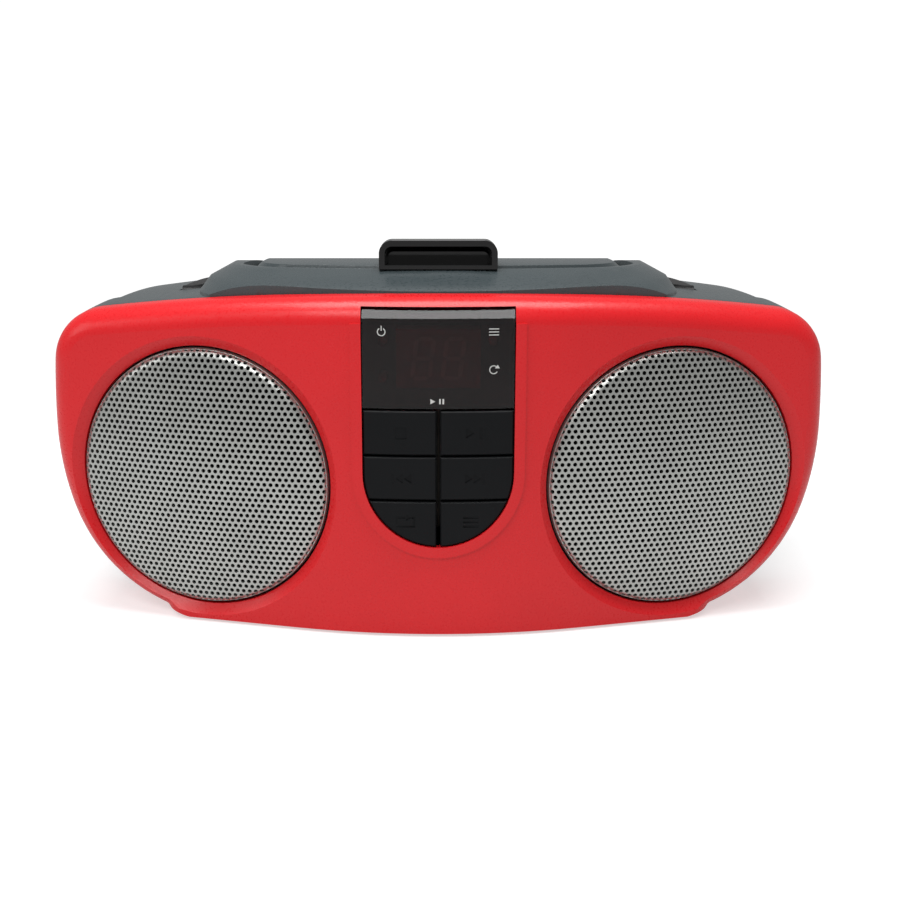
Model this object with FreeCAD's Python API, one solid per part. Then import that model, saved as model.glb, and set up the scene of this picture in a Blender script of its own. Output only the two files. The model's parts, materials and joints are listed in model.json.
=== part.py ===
import FreeCAD, Part
import math
import os

# Portable top-loading disc player with two speakers, a key panel, a disc lid and a carry handle.
# Units are millimetres. +Z is up, the front faces -Y, +X is to the right seen from the front.
# The origin is the centre of the footprint at the surface the feet stand on.

# ---------------------------------------------------------------- case
FRONT_HALF = 124.8  # half width of the front shell at its widest
REAR_HALF = 118.0         # half width of the rear cabinet at its widest
DEPTH = 208.0             # front of the key panel's border to the rear face
WALL = 2.5                # wall of the front shell and the rear cabinet
COVER_T = 3.0             # thickness of the top cover
BASE_Z = 1.0  # underside of the case, above the surface
WIDEST_Z = 62.0           # height at which the case is widest
SIDE_R_UPPER = 85.0       # side arc below the widest line
SIDE_R_LOWER = 52.0       # side arc that runs into the base
SIDE_R_TOP = 260.0        # gentle side arc above the widest line
SIDE_BLEND = 18.5         # degrees below level where the two lower side arcs meet
BOW_R = 180.0  # plan radius of the middle of the front
YAW = 14.3  # degrees by which each flat half of the front turns back
DOME_R = 800.0            # radius of the domed top
DOME_Y = -50.0            # where the dome is highest
DOME_Z = 108.0            # height of the dome
CORNER_R = 18.0           # rounding between the top and the sides, front shell
REAR_CORNER_R = 12.0      # the same on the rear cabinet
ROLL_R = 8.0  # rolled upper edge of the front
FOOT_CHAMFER = (8.0, 1.8)   # width and height of the slope at each lower corner of the outline
BACK_R = 2.5              # rounding round the rear face
SEAM_DEPTH = 11.0         # top cover's front seam, behind the front face
PARTING = 32.0            # seam between front shell and rear cabinet, behind the front face
SEAM_GAP = 0.3            # visible gap between top cover and front shell
STEP_Y = 95.5             # upper rear face, set in to make room for the antenna
STEP_Z = 70.0             # where the set-in part of the rear face starts
TOP_LIMIT = 135.0         # above every piece
FOOT_R = 7.0
FOOT_AT = ((-68.0, -58.0), (68.0, -58.0), (-68.0, 78.0), (68.0, 78.0))

# ---------------------------------------------------------------- key panel
PANEL_HALF = 22.9         # half width of the display and keys
PANEL_CENTRE_Z = 52.8     # centre of the panel's round lower end
PANEL_TOP = 103.6         # upper edge of the display lens
PANEL_CLEAR = 0.3         # gap round the lens and the keys
BORDER_W = 3.6            # raised border round the panel
BORDER_PROUD = 0.8
LENS_BOTTOM = 73.3
LENS_PROUD = 0.1
LENS_T = 2.0
LENS_RETURN = 6.0         # depth of the lens's upper edge
LENS_BEVEL = 3.0
KEY_ROWS = ((58.9, 72.6), (44.8, 58.3), (29.0, 44.2))
KEY_COLUMN_GAP = 1.3
KEY_PROUD = 0.3
KEY_T = 3.0
KEY_EDGE = 0.4            # chamfer round each key's face
KEY_TRAVEL = 1.0
ICON_DEPTH = 0.3
BOARD_BACK = 14.0         # control board behind the front face
BOARD_T = 1.6
BOARD_HALF = 30.0
BOARD_Z = (32.0, 100.0)
BOARD_POSTS = ((-26.6, 37.0), (26.6, 37.0), (-26.6, 97.0), (26.6, 97.0))
SWITCH_H = 4.5            # tact switch with its plunger
LED_R = 1.5
LED_AT = ((-16.9, 92.9), (-16.9, 81.4), (16.6, 92.9))
DISPLAY_HALF = 12.8
DISPLAY_Z = (78.7, 96.8)
DISPLAY_T = 8.0

# ---------------------------------------------------------------- speakers
SPEAKER_X = 75.0
SPEAKER_Z = 47.9
GRILLE_R = 42.0
GRILLE_CLEAR = 0.3
GRILLE_T = 0.8
GRILLE_RISE = 6.0
GRILLE_RIM = 1.8          # width of the grille's rolled rim
GRILLE_RIM_T = 1.5
BEVEL_W = 3.2             # sloping ring round the grille
BEVEL_D = 2.5
SEAT_R = 38.2             # opening behind the grille
SEAT_T = 4.5              # ledge that carries grille and speaker
SEAT_WALL = 2.6
FRAME_R = 41.5
FRAME_T = 1.2
FRAME_DEPTH = 19.0
CONE_R = 36.0
MAGNET_R = 21.0
MAGNET_T = 12.0

# ---------------------------------------------------------------- disc deck
DECK_BOW = 250.0          # plan radius of the deck's front edges
WELL_Y = -12.0            # disc axis
WELL_R = 62.5
WELL_FLOOR = 92.5
FLOOR_T = 2.0
LEDGE_Z = 97.0
LID_HALF = 64.0
LID_FRONT = -74.2
LID_REAR = 56.0
LID_GAP = 1.1             # all round the lid, which swings back as it opens
LID_T = 2.0
LID_BREAK_Z = 108.5       # where the lid's sloping sides start
LID_TOP_HALF = 57.0
LID_TOP_Z = 113.5
RING_TOP_Z = 112.8
RING_HALF = 78.0
RING_FRONT = -98.0
RING_REAR = 63.0
FALL_R = 600.0            # lid and ring fall away to the rear along this arc
FALL_Y = -70.0
RING_LAND = 1.2
HINGE_Y = 61.0
HINGE_Z = 95.0
KNUCKLE_R = 4.0
KNUCKLE_X = (36.5, 43.5)
PIN_R = 1.5
RUN_CLEAR = 0.05          # radial running clearance of pins, shafts and rods
PART_CLEAR = 0.3          # gap between pieces that move past each other
TROUGH_HALF = 51.0
TAB_HALF = 18.6
TAB_FRONT = -79.0
TAB_REAR = -50.0
TAB_TOP = 121.8
TAB_BOTTOM = 112.9
TAB_WALL = 1.8
TAB_R = 4.0
HOOK_X = 45.0

# ---------------------------------------------------------------- disc drive
PLATFORM_Z = 95.2
PLATFORM_R = 14.0
SPINDLE_BOSS_R = 7.4
SPINDLE_BOSS_TOP = 98.0
CLAMP_R = 11.6
CLAMP_FLANGE_R = 14.0
CHASSIS_Z = 72.0
CHASSIS_T = 2.5
CHASSIS_HALF = 44.0
MOTOR_R = 10.5
ROD_X = 20.0
ROD_Z = 84.0
SLED_FRONT = -41.0
SLED_REAR = -23.0
SLED_TRAVEL = 31.0
LENS_Y = -37.0
RACK_X = (24.0, 27.0)
GEAR_Y = -35.0
GEAR_PINION_R = 5.0
GEAR_WHEEL_R = 11.0
MOTOR_PINION_R = 2.5
MESH_GAP = 0.15
POST_AT = ((-38.0, 28.0), (38.0, 28.0), (-38.0, -50.0), (38.0, -50.0))
POST_R = 2.5
GROMMET_R = 4.0

# ---------------------------------------------------------------- handle
HANDLE_HALF = 83.5  # centre line of each arm
HANDLE_BAR_Y = 82.0       # centre line of the bar
HANDLE_W = 6.5
HANDLE_H = 7.1
HANDLE_PROUD = 0.8
HANDLE_CORNER = 26.0
HANDLE_PIVOT_Y = -46.0
CHANNEL_CLEAR = 0.6
CHANNEL_DEPTH = 8.2
CHANNEL_WALL = 1.6
GRIP_HALF = 25.0
GRIP_REAR = 92.0

# ---------------------------------------------------------------- controls on the sides
SIDE_KNOB_Y = -10.0
SIDE_KNOB_Z = 66.0
VOLUME_R = 12.0
TUNING_R = 16.0
KNOB_T = 5.0
KNOB_SHAFT_R = 3.0
SLIDER_Y = 32.0
SLIDER_TRAVEL = 8.0
SLIDER_HALF = 3.0

# ---------------------------------------------------------------- power and rear
BAY_HALF = 78.0
BAY_FRONT = 46.0
BAY_Z = (9.0, 40.0)
BAY_WALL = 2.0
DOOR_HALF = 79.5
DOOR_Z = (7.5, 41.5)
DOOR_T = 2.2
DOOR_PIN_R = 0.8
INLET_AT = (-80.0, 57.0)
JACK_AT = (-50.0, 57.0)
JACK_R = 1.8
SCREW_AT = ((-102.0, 48.0), (102.0, 48.0), (-30.0, 56.0), (30.0, 56.0))
ANTENNA_AT = (94.0, 77.0)
ANTENNA_Y = 99.7
ANTENNA_R = 2.9
ANTENNA_L = 130.0
MIDDLE_R = 1.9
TIP_R = 1.1
ANTENNA_TRAVEL = 105.0

FRONT_Y = -DEPTH / 2 + BORDER_PROUD
REAR_Y = DEPTH / 2
CHASSIS_TOP = CHASSIS_Z + CHASSIS_T
BOARD_FRONT_Y = FRONT_Y + BOARD_BACK


# ================================================================ helpers
def vec(x, y, z):
    return FreeCAD.Vector(x, y, z)


def box(x0, x1, y0, y1, z0, z1):
    return Part.makeBox(x1 - x0, y1 - y0, z1 - z0, vec(x0, y0, z0))


def rod(centre, axis, radius, length):
    return Part.makeCylinder(radius, length, centre, axis)


def tube(centre, axis, outer, inner, length):
    return rod(centre, axis, outer, length).cut(rod(centre, axis, inner, length))


def mirror_x(shape):
    return shape.mirror(vec(0, 0, 0), vec(1, 0, 0))


def both_sides(shape):
    return [shape, mirror_x(shape)]


def join(first, *others):
    result = first
    for other in others:
        result = result.fuse(other)
    return result.removeSplitter()


def arc(start, middle, end):
    return Part.Arc(start, middle, end).toShape()


def line(start, end):
    return Part.makeLine(start, end)


def face_of(edges):
    return Part.Face(Part.Wire(Part.__sortEdges__(edges)))


def save(name, *solids):
    shape = solids[0] if len(solids) == 1 else Part.makeCompound(list(solids))
    shape.exportStep("parts/" + name + ".step")


# ================================================================ case forms
def outline_solid(half, inset, foot=(0.0, 0.0)):
    """The case seen from the front, drawn inset from its surface and run along the whole depth."""
    blend = math.radians(SIDE_BLEND)
    upper_x = half - SIDE_R_UPPER
    shift = SIDE_R_UPPER - SIDE_R_LOWER
    lower_x = upper_x + shift * math.cos(blend)
    lower_z = WIDEST_Z - shift * math.sin(blend)
    r_lower = SIDE_R_LOWER - inset
    r_upper = SIDE_R_UPPER - inset
    r_top = SIDE_R_TOP - inset
    base = BASE_Z + inset
    foot_angle = math.asin((lower_z - base - foot[1]) / r_lower)
    top_angle = math.asin((TOP_LIMIT - WIDEST_Z) / r_top)
    y = -DEPTH

    def on_circle(cx, cz, radius, angle):
        return vec(cx + radius * math.cos(angle), y, cz + radius * math.sin(angle))

    kink = on_circle(lower_x, lower_z, r_lower, -foot_angle)
    lower_mid = on_circle(lower_x, lower_z, r_lower, -(foot_angle + blend) / 2)
    joint = on_circle(upper_x, WIDEST_Z, r_upper, -blend)
    upper_mid = on_circle(upper_x, WIDEST_Z, r_upper, -blend / 2)
    widest = vec(half - inset, y, WIDEST_Z)
    top_mid = on_circle(half - SIDE_R_TOP, WIDEST_Z, r_top, top_angle / 2)
    top = on_circle(half - SIDE_R_TOP, WIDEST_Z, r_top, top_angle)

    side = [arc(kink, lower_mid, joint), arc(joint, upper_mid, widest), arc(widest, top_mid, top)]
    edges = side + [mirror_x(edge) for edge in side]
    corner = vec(kink.x - foot[0], y, base)
    if foot[0] > 0:
        slope = line(corner, kink)
        edges += [slope, mirror_x(slope)]
    edges.append(line(vec(-corner.x, y, base), corner))
    edges.append(line(vec(-top.x, y, top.z), top))
    return face_of(edges).extrude(vec(0, 2 * DEPTH, 0))


def bow_solid(inset, rear=REAR_Y):
    """Everything behind the bowed front surface moved in by inset, as far as the rear plane."""
    yaw = math.radians(YAW)
    radius = BOW_R - inset
    centre_y = FRONT_Y + BOW_R
    z0 = -TOP_LIMIT / 10
    reach = FRONT_HALF
    front = vec(0, centre_y - radius, z0)
    right = vec(radius * math.sin(yaw), centre_y - radius * math.cos(yaw), z0)
    left = vec(-right.x, right.y, z0)
    right_end = right + vec(math.cos(yaw), math.sin(yaw), 0) * reach
    left_end = vec(-right_end.x, right_end.y, z0)
    right_rear = vec(right_end.x, rear, z0)
    left_rear = vec(left_end.x, rear, z0)
    edges = [
        arc(left, front, right),
        line(right, right_end),
        line(right_end, right_rear),
        line(right_rear, left_rear),
        line(left_rear, left_end),
        line(left_end, left),
    ]
    return face_of(edges).extrude(vec(0, 0, TOP_LIMIT - z0))


def dome(inset):
    return Part.makeSphere(DOME_R - inset, vec(0, DOME_Y, DOME_Z - DOME_R))


def dome_height(x, y, inset=0.0):
    radius = DOME_R - inset
    return DOME_Z - DOME_R + math.sqrt(radius ** 2 - x ** 2 - (y - DOME_Y) ** 2)


def case_form(half, inset, top_inset, rear, foot=(0.0, 0.0)):
    return outline_solid(half, inset, foot).common(bow_solid(inset, rear)).common(dome(top_inset))


def edges_where(shape, test):
    return [edge for edge in shape.Edges if test(edge.BoundBox)]


def round_front(form, corner_r, roll_r):
    """Round the shoulders of a front form, then roll the edge that runs round its bowed face."""
    shoulders = edges_where(form, lambda b: b.YLength > DEPTH / 2 and b.ZMin > WIDEST_Z)
    form = form.makeFillet(corner_r, shoulders)
    crown = edges_where(form, lambda b: b.ZMin > DOME_Z - COVER_T - CORNER_R and b.YMax < LID_FRONT)
    return form.makeFillet(roll_r, crown)


def round_rear_case():
    """Outer form of the rear cabinet, with the upper rear set in for the antenna."""
    form = case_form(REAR_HALF, 0, 0, REAR_Y)
    shoulders = edges_where(form, lambda b: b.YLength > DEPTH / 2 and b.ZMin > WIDEST_Z)
    form = form.makeFillet(REAR_CORNER_R, shoulders)
    form = form.makeFillet(BACK_R, edges_where(form, lambda b: b.YMin > REAR_Y - 0.01))
    return form.cut(box(-DEPTH, DEPTH, STEP_Y, DEPTH, STEP_Z, TOP_LIMIT))


FRONT_CASE = round_front(case_form(FRONT_HALF, 0, 0, REAR_Y, FOOT_CHAMFER), CORNER_R, ROLL_R)
REAR_CASE = round_rear_case()
FRONT_INNER = case_form(FRONT_HALF, WALL, COVER_T, REAR_Y, FOOT_CHAMFER)
FRONT_INNER = round_front(FRONT_INNER, CORNER_R - WALL, ROLL_R - WALL)
REAR_INNER = case_form(REAR_HALF, WALL, COVER_T, REAR_Y - WALL)
REAR_INNER = REAR_INNER.cut(box(-DEPTH, DEPTH, STEP_Y - WALL, DEPTH, STEP_Z - WALL, TOP_LIMIT))
BEHIND_PARTING = bow_solid(PARTING)
BEHIND_SEAM = bow_solid(SEAM_DEPTH)


# ================================================================ key panel
def panel_solid(grow, top):
    """The panel's U outline, enlarged by grow and run through the front from front to rear."""
    half = PANEL_HALF + grow
    y = -DEPTH
    lower = arc(vec(-half, y, PANEL_CENTRE_Z), vec(0, y, PANEL_CENTRE_Z - half), vec(half, y, PANEL_CENTRE_Z))
    edges = [
        lower,
        line(vec(half, y, PANEL_CENTRE_Z), vec(half, y, top)),
        line(vec(half, y, top), vec(-half, y, top)),
        line(vec(-half, y, top), vec(-half, y, PANEL_CENTRE_Z)),
    ]
    return face_of(edges).extrude(vec(0, DEPTH, 0))


def bow_layer(near, far):
    """Layer of the front between two depths behind its surface; a negative depth stands proud."""
    return bow_solid(near).cut(bow_solid(far))


def make_lens():
    outline = panel_solid(0, PANEL_TOP).common(box(-DEPTH, DEPTH, -DEPTH, 0, LENS_BOTTOM, TOP_LIMIT))
    pane = bow_layer(-LENS_PROUD, LENS_T).common(outline)
    edge_return = bow_layer(-LENS_PROUD, LENS_RETURN).common(outline)
    edge_return = edge_return.common(box(-DEPTH, DEPTH, -DEPTH, 0, PANEL_TOP - LENS_BEVEL - LENS_T, TOP_LIMIT))
    lens = join(pane, edge_return)
    reach = FRONT_Y + LENS_BEVEL
    upper = edges_where(lens, lambda b: b.ZMin > PANEL_TOP - 0.01 and b.YMax < reach and b.XLength > PANEL_HALF)
    return lens.makeChamfer(LENS_BEVEL, upper[:1])


def icon_prism(points, depth_y):
    """Flat icon outline in XZ, run back from the front to depth_y."""
    corners = [vec(x, -DEPTH, z) for x, z in points]
    face = Part.Face(Part.makePolygon(corners + corners[:1]))
    return face.extrude(vec(0, depth_y + DEPTH, 0))


def icon_box(x, z, half_w, half_h, depth_y):
    return icon_prism(((x - half_w, z - half_h), (x + half_w, z - half_h), (x + half_w, z + half_h),
                       (x - half_w, z + half_h)), depth_y)


def icon_arrow(x, z, size, way, depth_y):
    return icon_prism(((x, z - size), (x + way * 1.5 * size, z), (x, z + size)), depth_y)


def key_icon(name, x, z, depth_y):
    """Generic transport marks; the repeat key has a loop and the program key has a list of bars."""
    if name == "stop":
        return [icon_box(x, z, 1.8, 1.8, depth_y)]
    if name == "play":
        bars = [icon_box(x + d, z, 0.45, 1.6, depth_y) for d in (1.6, 3.2)]
        return bars + [icon_arrow(x - 3.0, z, 1.6, 1, depth_y)]
    if name in ("back", "forward"):
        way = 1 if name == "forward" else -1
        arrows = [icon_arrow(x + way * d, z, 1.5, way, depth_y) for d in (-3.2, -0.6)]
        return arrows + [icon_box(x + way * 2.5, z, 0.4, 1.5, depth_y)]
    if name == "repeat":
        loop = icon_box(x, z, 3.0, 1.7, depth_y).cut(icon_box(x, z, 2.4, 1.1, depth_y))
        loop = loop.cut(icon_box(x + 0.9, z + 1.4, 1.0, 0.5, depth_y))
        return [loop, icon_arrow(x + 0.2, z + 1.4, 1.0, 1, depth_y)]
    return [icon_box(x, z + d, 2.4, 0.35, depth_y) for d in (-1.4, 0.0, 1.4)]


def make_key(name, row, side):
    """One key: a cell of the U outline with a curved face, an icon and a stem for its switch."""
    low, high = KEY_ROWS[row]
    inner = KEY_COLUMN_GAP / 2
    outline = panel_solid(0, PANEL_TOP)
    x0, x1 = (inner, DEPTH) if side > 0 else (-DEPTH, -inner)
    cell = outline.common(box(x0, x1, -DEPTH, 0, low, high))
    key = bow_layer(-KEY_PROUD, KEY_T).common(cell)
    key = key.makeChamfer(KEY_EDGE, [edge for edge in key.Edges if on_key_face(edge)])
    x = side * PANEL_HALF / 2
    z = (low + high) / 2
    if row == 2:
        x = side * (PANEL_HALF / 2 - 1.4)
        z = z + 1.2
    for mark in key_icon(name, x, z, FRONT_Y + icon_sag(x) - KEY_PROUD + ICON_DEPTH):
        key = key.cut(mark)
    stem_end = BOARD_FRONT_Y - SWITCH_H - PART_CLEAR - KEY_TRAVEL
    stem = box(x - 2, x + 2, FRONT_Y + KEY_T - 0.5, stem_end, z - 2, z + 2)
    return join(key, stem), x, z


def icon_sag(x):
    return BOW_R - math.sqrt(BOW_R ** 2 - x ** 2)


def on_key_face(edge):
    """True for an edge that lies wholly in the keys' curved front surface."""
    centre_y = FRONT_Y + BOW_R
    depths = [math.hypot(v.X, v.Y - centre_y) - BOW_R - KEY_PROUD for v in edge.Vertexes]
    return max(abs(depth) for depth in depths) < 0.01


# ================================================================ speakers
def speaker_place():
    """Placement that takes +Z to the outward normal at the right speaker's centre."""
    yaw = math.radians(YAW)
    tangent_x = BOW_R * math.sin(yaw)
    tangent_y = FRONT_Y + BOW_R * (1 - math.cos(yaw))
    y = tangent_y + (SPEAKER_X - tangent_x) * math.tan(yaw)
    turn = FreeCAD.Rotation(vec(1, 0, 0), 90)
    swing = FreeCAD.Rotation(vec(0, 0, 1), YAW)
    return FreeCAD.Placement(vec(SPEAKER_X, y, SPEAKER_Z), swing.multiply(turn))


def at_speaker(shape):
    placed = shape.copy()
    placed.Placement = speaker_place()
    return placed


def disc(radius, z0, z1):
    return rod(vec(0, 0, min(z0, z1)), vec(0, 0, 1), radius, abs(z1 - z0))


def cone_shell(outer_r, outer_z, inner_r, inner_z, thick):
    """Thin cone from a wide front edge down to a narrow back edge."""
    height = outer_z - inner_z
    solid = Part.makeCone(inner_r, outer_r, height, vec(0, 0, inner_z))
    hollow = Part.makeCone(inner_r - thick, outer_r - thick, height, vec(0, 0, inner_z))
    return solid.cut(hollow)


def make_grille():
    """Domed sheet with a rolled rim; its perforation is too fine to be modelled as solid."""
    span = GRILLE_R - GRILLE_RIM
    rim_z = -BEVEL_D - GRILLE_RIM_T / 2
    radius = (span ** 2 + GRILLE_RISE ** 2) / (2 * GRILLE_RISE)
    centre = vec(0, 0, rim_z + GRILLE_RISE - radius)
    cap = Part.makeSphere(radius, centre).cut(Part.makeSphere(radius - GRILLE_T, centre))
    cap = cap.common(disc(GRILLE_R, rim_z - GRILLE_T / 2, rim_z + 2 * GRILLE_RISE))
    rim = disc(GRILLE_R, rim_z - GRILLE_RIM_T / 2, rim_z + GRILLE_RIM_T / 2)
    rim = rim.cut(disc(span - GRILLE_T, rim_z - GRILLE_RIM_T, rim_z + GRILLE_RIM_T))
    return at_speaker(join(cap, rim))


def speaker_seat():
    """Ledge behind the front shell that carries the grille and the speaker."""
    ledge_z = -BEVEL_D - GRILLE_RIM_T
    outer = GRILLE_R + SEAT_WALL
    return at_speaker(disc(outer, -WALL / 2, ledge_z - SEAT_T))


def speaker_opening():
    ledge_z = -BEVEL_D - GRILLE_RIM_T
    edge = GRILLE_R + GRILLE_CLEAR
    rim = disc(edge, GRILLE_RISE, ledge_z)
    slope = Part.makeCone(edge, edge + 2 * BEVEL_W, 2 * BEVEL_D, vec(0, 0, -BEVEL_D))
    hole = disc(SEAT_R, ledge_z - 2 * SEAT_T, 0)
    return at_speaker(join(rim, slope, hole))


def make_speaker():
    flange_z = -BEVEL_D - GRILLE_RIM_T - SEAT_T
    plate_z = flange_z - FRAME_DEPTH
    flange = disc(FRAME_R, flange_z, flange_z - FRAME_T).cut(disc(CONE_R + 0.6, flange_z + 1, flange_z - 2))
    basket = cone_shell(CONE_R + 1.6, flange_z - FRAME_T / 2, MAGNET_R, plate_z, 1.0)
    for turn in range(4):
        window = box(MAGNET_R, FRAME_R, -7, 7, plate_z + 4, flange_z - 4)
        window.rotate(vec(0, 0, 0), vec(0, 0, 1), 45 + 90 * turn)
        basket = basket.cut(window)
    plate = disc(MAGNET_R, plate_z, plate_z - FRAME_T)
    frame = join(flange, basket, plate)
    surround = Part.makeTorus(CONE_R - 3, 2.4, vec(0, 0, flange_z - FRAME_T))
    surround = surround.cut(disc(FRAME_R, flange_z - FRAME_T, flange_z - 10))
    edge_ring = disc(CONE_R, flange_z - FRAME_T, flange_z - FRAME_T - 0.8)
    edge_ring = edge_ring.cut(disc(CONE_R - 6, flange_z, flange_z - 5))
    paper = cone_shell(CONE_R - 5, flange_z - FRAME_T, 11, plate_z + 6, 0.8)
    cap_r = 12.0
    cap = Part.makeSphere(cap_r * 1.3, vec(0, 0, plate_z + 6 - cap_r * 0.4))
    cap = cap.common(disc(cap_r, plate_z + 6, plate_z + 6 + cap_r))
    coil = disc(9, plate_z + 6, plate_z + PART_CLEAR)
    cone = join(surround, edge_ring, paper, cap, coil)
    cone = cone.cut(cone_shell(CONE_R + 1.6, flange_z - FRAME_T / 2, MAGNET_R, plate_z, 1.0))
    magnet = disc(MAGNET_R, plate_z - FRAME_T, plate_z - FRAME_T - MAGNET_T)
    yoke = disc(MAGNET_R - 5, plate_z - FRAME_T - MAGNET_T, plate_z - FRAME_T - MAGNET_T - 2)
    return at_speaker(frame), at_speaker(cone), at_speaker(join(magnet, yoke))


# ================================================================ front shell and rear cabinet
def make_front_shell():
    rim = bow_solid(PARTING - WALL).cut(outline_solid(REAR_HALF, WALL))
    shell = FRONT_CASE.cut(BEHIND_PARTING).cut(FRONT_INNER.cut(rim))
    shell = shell.cut(bow_solid(SEAM_DEPTH).cut(dome(COVER_T)))
    border = bow_layer(-BORDER_PROUD, WALL / 2).common(panel_solid(BORDER_W, DOME_Z - ROLL_R - 1))
    shell = shell.fuse(border)
    for seat in both_sides(speaker_seat()):
        shell = shell.fuse(seat)
    for x, z in BOARD_POSTS:
        post = rod(vec(x, FRONT_Y + WALL, z), vec(0, 1, 0), 2.4, BOARD_BACK - WALL)
        shell = shell.fuse(post)
    for opening in both_sides(speaker_opening()):
        shell = shell.cut(opening)
    return shell.cut(panel_solid(PANEL_CLEAR, PANEL_TOP + PANEL_CLEAR).common(
        box(-DEPTH, DEPTH, -DEPTH, BOARD_FRONT_Y, 0, TOP_LIMIT)))


def make_rear_cabinet():
    """Rear half of the case. What stands inside it is kept out of its hollow, then cut to shape."""
    hollow = REAR_INNER
    hollow = hollow.cut(box(-BAY_HALF - 4, BAY_HALF + 4, BAY_FRONT - BAY_WALL, DEPTH, 0, BAY_Z[1] + 4))
    for x, z in SCREW_AT:
        hollow = hollow.cut(rod(vec(x, 84, z), vec(0, 1, 0), 4.8, 40))
    for x, y in BOARD_FEET:
        hollow = hollow.cut(rod(vec(x, y, 0), vec(0, 0, 1), 3.0, MAIN_BOARD_Z))
    shell = REAR_CASE.common(BEHIND_PARTING).cut(TOP_ZONE).cut(hollow)

    seat_y = REAR_Y - DOOR_T - 2 * PART_CLEAR
    cuts = [
        box(-BAY_HALF, BAY_HALF, BAY_FRONT, REAR_Y + 1, BAY_Z[0], BAY_Z[1]),
        box(-DOOR_HALF - PART_CLEAR, DOOR_HALF + PART_CLEAR, seat_y, REAR_Y + 1,
            DOOR_Z[0] - PART_CLEAR, DOOR_Z[1] + PART_CLEAR),
    ]
    hinge = door_axis()
    for x, z in SCREW_AT:
        cuts.append(rod(vec(x, 96, z), vec(0, 1, 0), 3.7, 20))
        cuts.append(rod(vec(x, 83, z), vec(0, 1, 0), PIN_R, 20))
    x, z = INLET_AT
    cuts.append(box(x - 11, x + 11, REAR_Y - 10, REAR_Y + 1, z - 7, z + 7))
    x, z = JACK_AT
    cuts.append(rod(vec(x, REAR_Y - 10, z), vec(0, 1, 0), 4.0, 20))
    x, z = ANTENNA_AT
    cuts.append(rod(vec(x, STEP_Y - 5, z), vec(0, 1, 0), 1.6, 10))
    reach = SLIDER_HALF + SLIDER_TRAVEL / 2 + PART_CLEAR
    for side in (-1, 1):
        cuts.append(rod(vec(side * DOOR_HALF, hinge.y, hinge.z), vec(side, 0, 0), DOOR_PIN_R + RUN_CLEAR, 1.5))
        cuts.append(rod(vec(side * (REAR_HALF - 8), SIDE_KNOB_Y, SIDE_KNOB_Z), vec(side, 0, 0),
                        KNOB_SHAFT_R + PART_CLEAR, 20))
        x0, x1 = sorted((side * (REAR_HALF - 8), side * (REAR_HALF + 8)))
        cuts.append(box(x0, x1, SLIDER_Y - reach, SLIDER_Y + reach, SIDE_KNOB_Z - 2, SIDE_KNOB_Z + 2))
    return shell.cut(cuts)


def door_axis():
    return vec(0, REAR_Y - PART_CLEAR - DOOR_T / 2, DOOR_Z[0] + DOOR_T / 2)


def make_battery_door():
    hinge = door_axis()
    y0 = hinge.y - DOOR_T / 2
    door = box(-DOOR_HALF, DOOR_HALF, y0, y0 + DOOR_T, DOOR_Z[0], DOOR_Z[1])
    low = edges_where(door, lambda b: b.ZMax < DOOR_Z[0] + 0.01 and b.XLength > DOOR_HALF)
    door = door.makeFillet(DOOR_T / 2 - 0.05, low)
    finger = box(-9, 9, y0 + DOOR_T - 1.0, y0 + DOOR_T + 1, DOOR_Z[1] - 8, DOOR_Z[1] - 3)
    door = door.cut(finger)
    for side in (-1, 1):
        pin = rod(vec(side * (DOOR_HALF - 1), hinge.y, hinge.z), vec(side, 0, 0), DOOR_PIN_R, 2.2)
        door = door.fuse(pin)
    return door


def make_contacts():
    """Flat contact plates on both end walls of the battery bay, with conical springs on one side."""
    parts = []
    z = (BAY_Z[0] + BAY_Z[1]) / 2
    for y in (BAY_FRONT + 13.5, BAY_FRONT + 40.5):
        for side in (-1, 1):
            x0, x1 = sorted((side * BAY_HALF, side * (BAY_HALF - 0.5)))
            plate = box(x0, x1, y - 7, y + 7, z - 7, z + 7)
            if side < 0:
                spring = Part.makeCone(5.0, 2.5, 4.0, vec(x1, y, z), vec(1, 0, 0))
                plate = join(plate, spring)
            parts.append(plate)
    return parts


# ================================================================ top cover and disc deck
def deck_wire(half, front, rear, r_front, r_rear, z):
    """Plan outline of the deck: bowed front, round corners, straight sides and rear."""
    bow_y_centre = front + DECK_BOW
    reach = DECK_BOW - r_front
    cx = half - r_front
    cy = bow_y_centre - math.sqrt(reach ** 2 - cx ** 2)
    touch = vec(cx * DECK_BOW / reach, bow_y_centre + (cy - bow_y_centre) * DECK_BOW / reach, z)
    start = math.atan2(touch.y - cy, touch.x - cx)
    corner = vec(cx + r_front * math.cos(start / 2), cy + r_front * math.sin(start / 2), z)
    rear_mid = vec(half - r_rear * (1 - math.sqrt(0.5)), rear - r_rear * (1 - math.sqrt(0.5)), z)
    side = [
        arc(touch, corner, vec(half, cy, z)),
        line(vec(half, cy, z), vec(half, rear - r_rear, z)),
        arc(vec(half, rear - r_rear, z), rear_mid, vec(half - r_rear, rear, z)),
    ]
    edges = side + [mirror_x(edge) for edge in side]
    edges.append(arc(vec(-touch.x, touch.y, z), vec(0, front, z), touch))
    edges.append(line(vec(half - r_rear, rear, z), vec(r_rear - half, rear, z)))
    return Part.Wire(Part.__sortEdges__(edges))


def deck_prism(half, front, rear, r_front, r_rear, z0, z1):
    return Part.Face(deck_wire(half, front, rear, r_front, r_rear, z0)).extrude(vec(0, 0, z1 - z0))


def under_fall(top_z):
    """Everything below the arc along which the lid and the ring fall away to the rear."""
    return rod(vec(-DEPTH, FALL_Y, top_z - FALL_R), vec(1, 0, 0), FALL_R, 2 * DEPTH)


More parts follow.
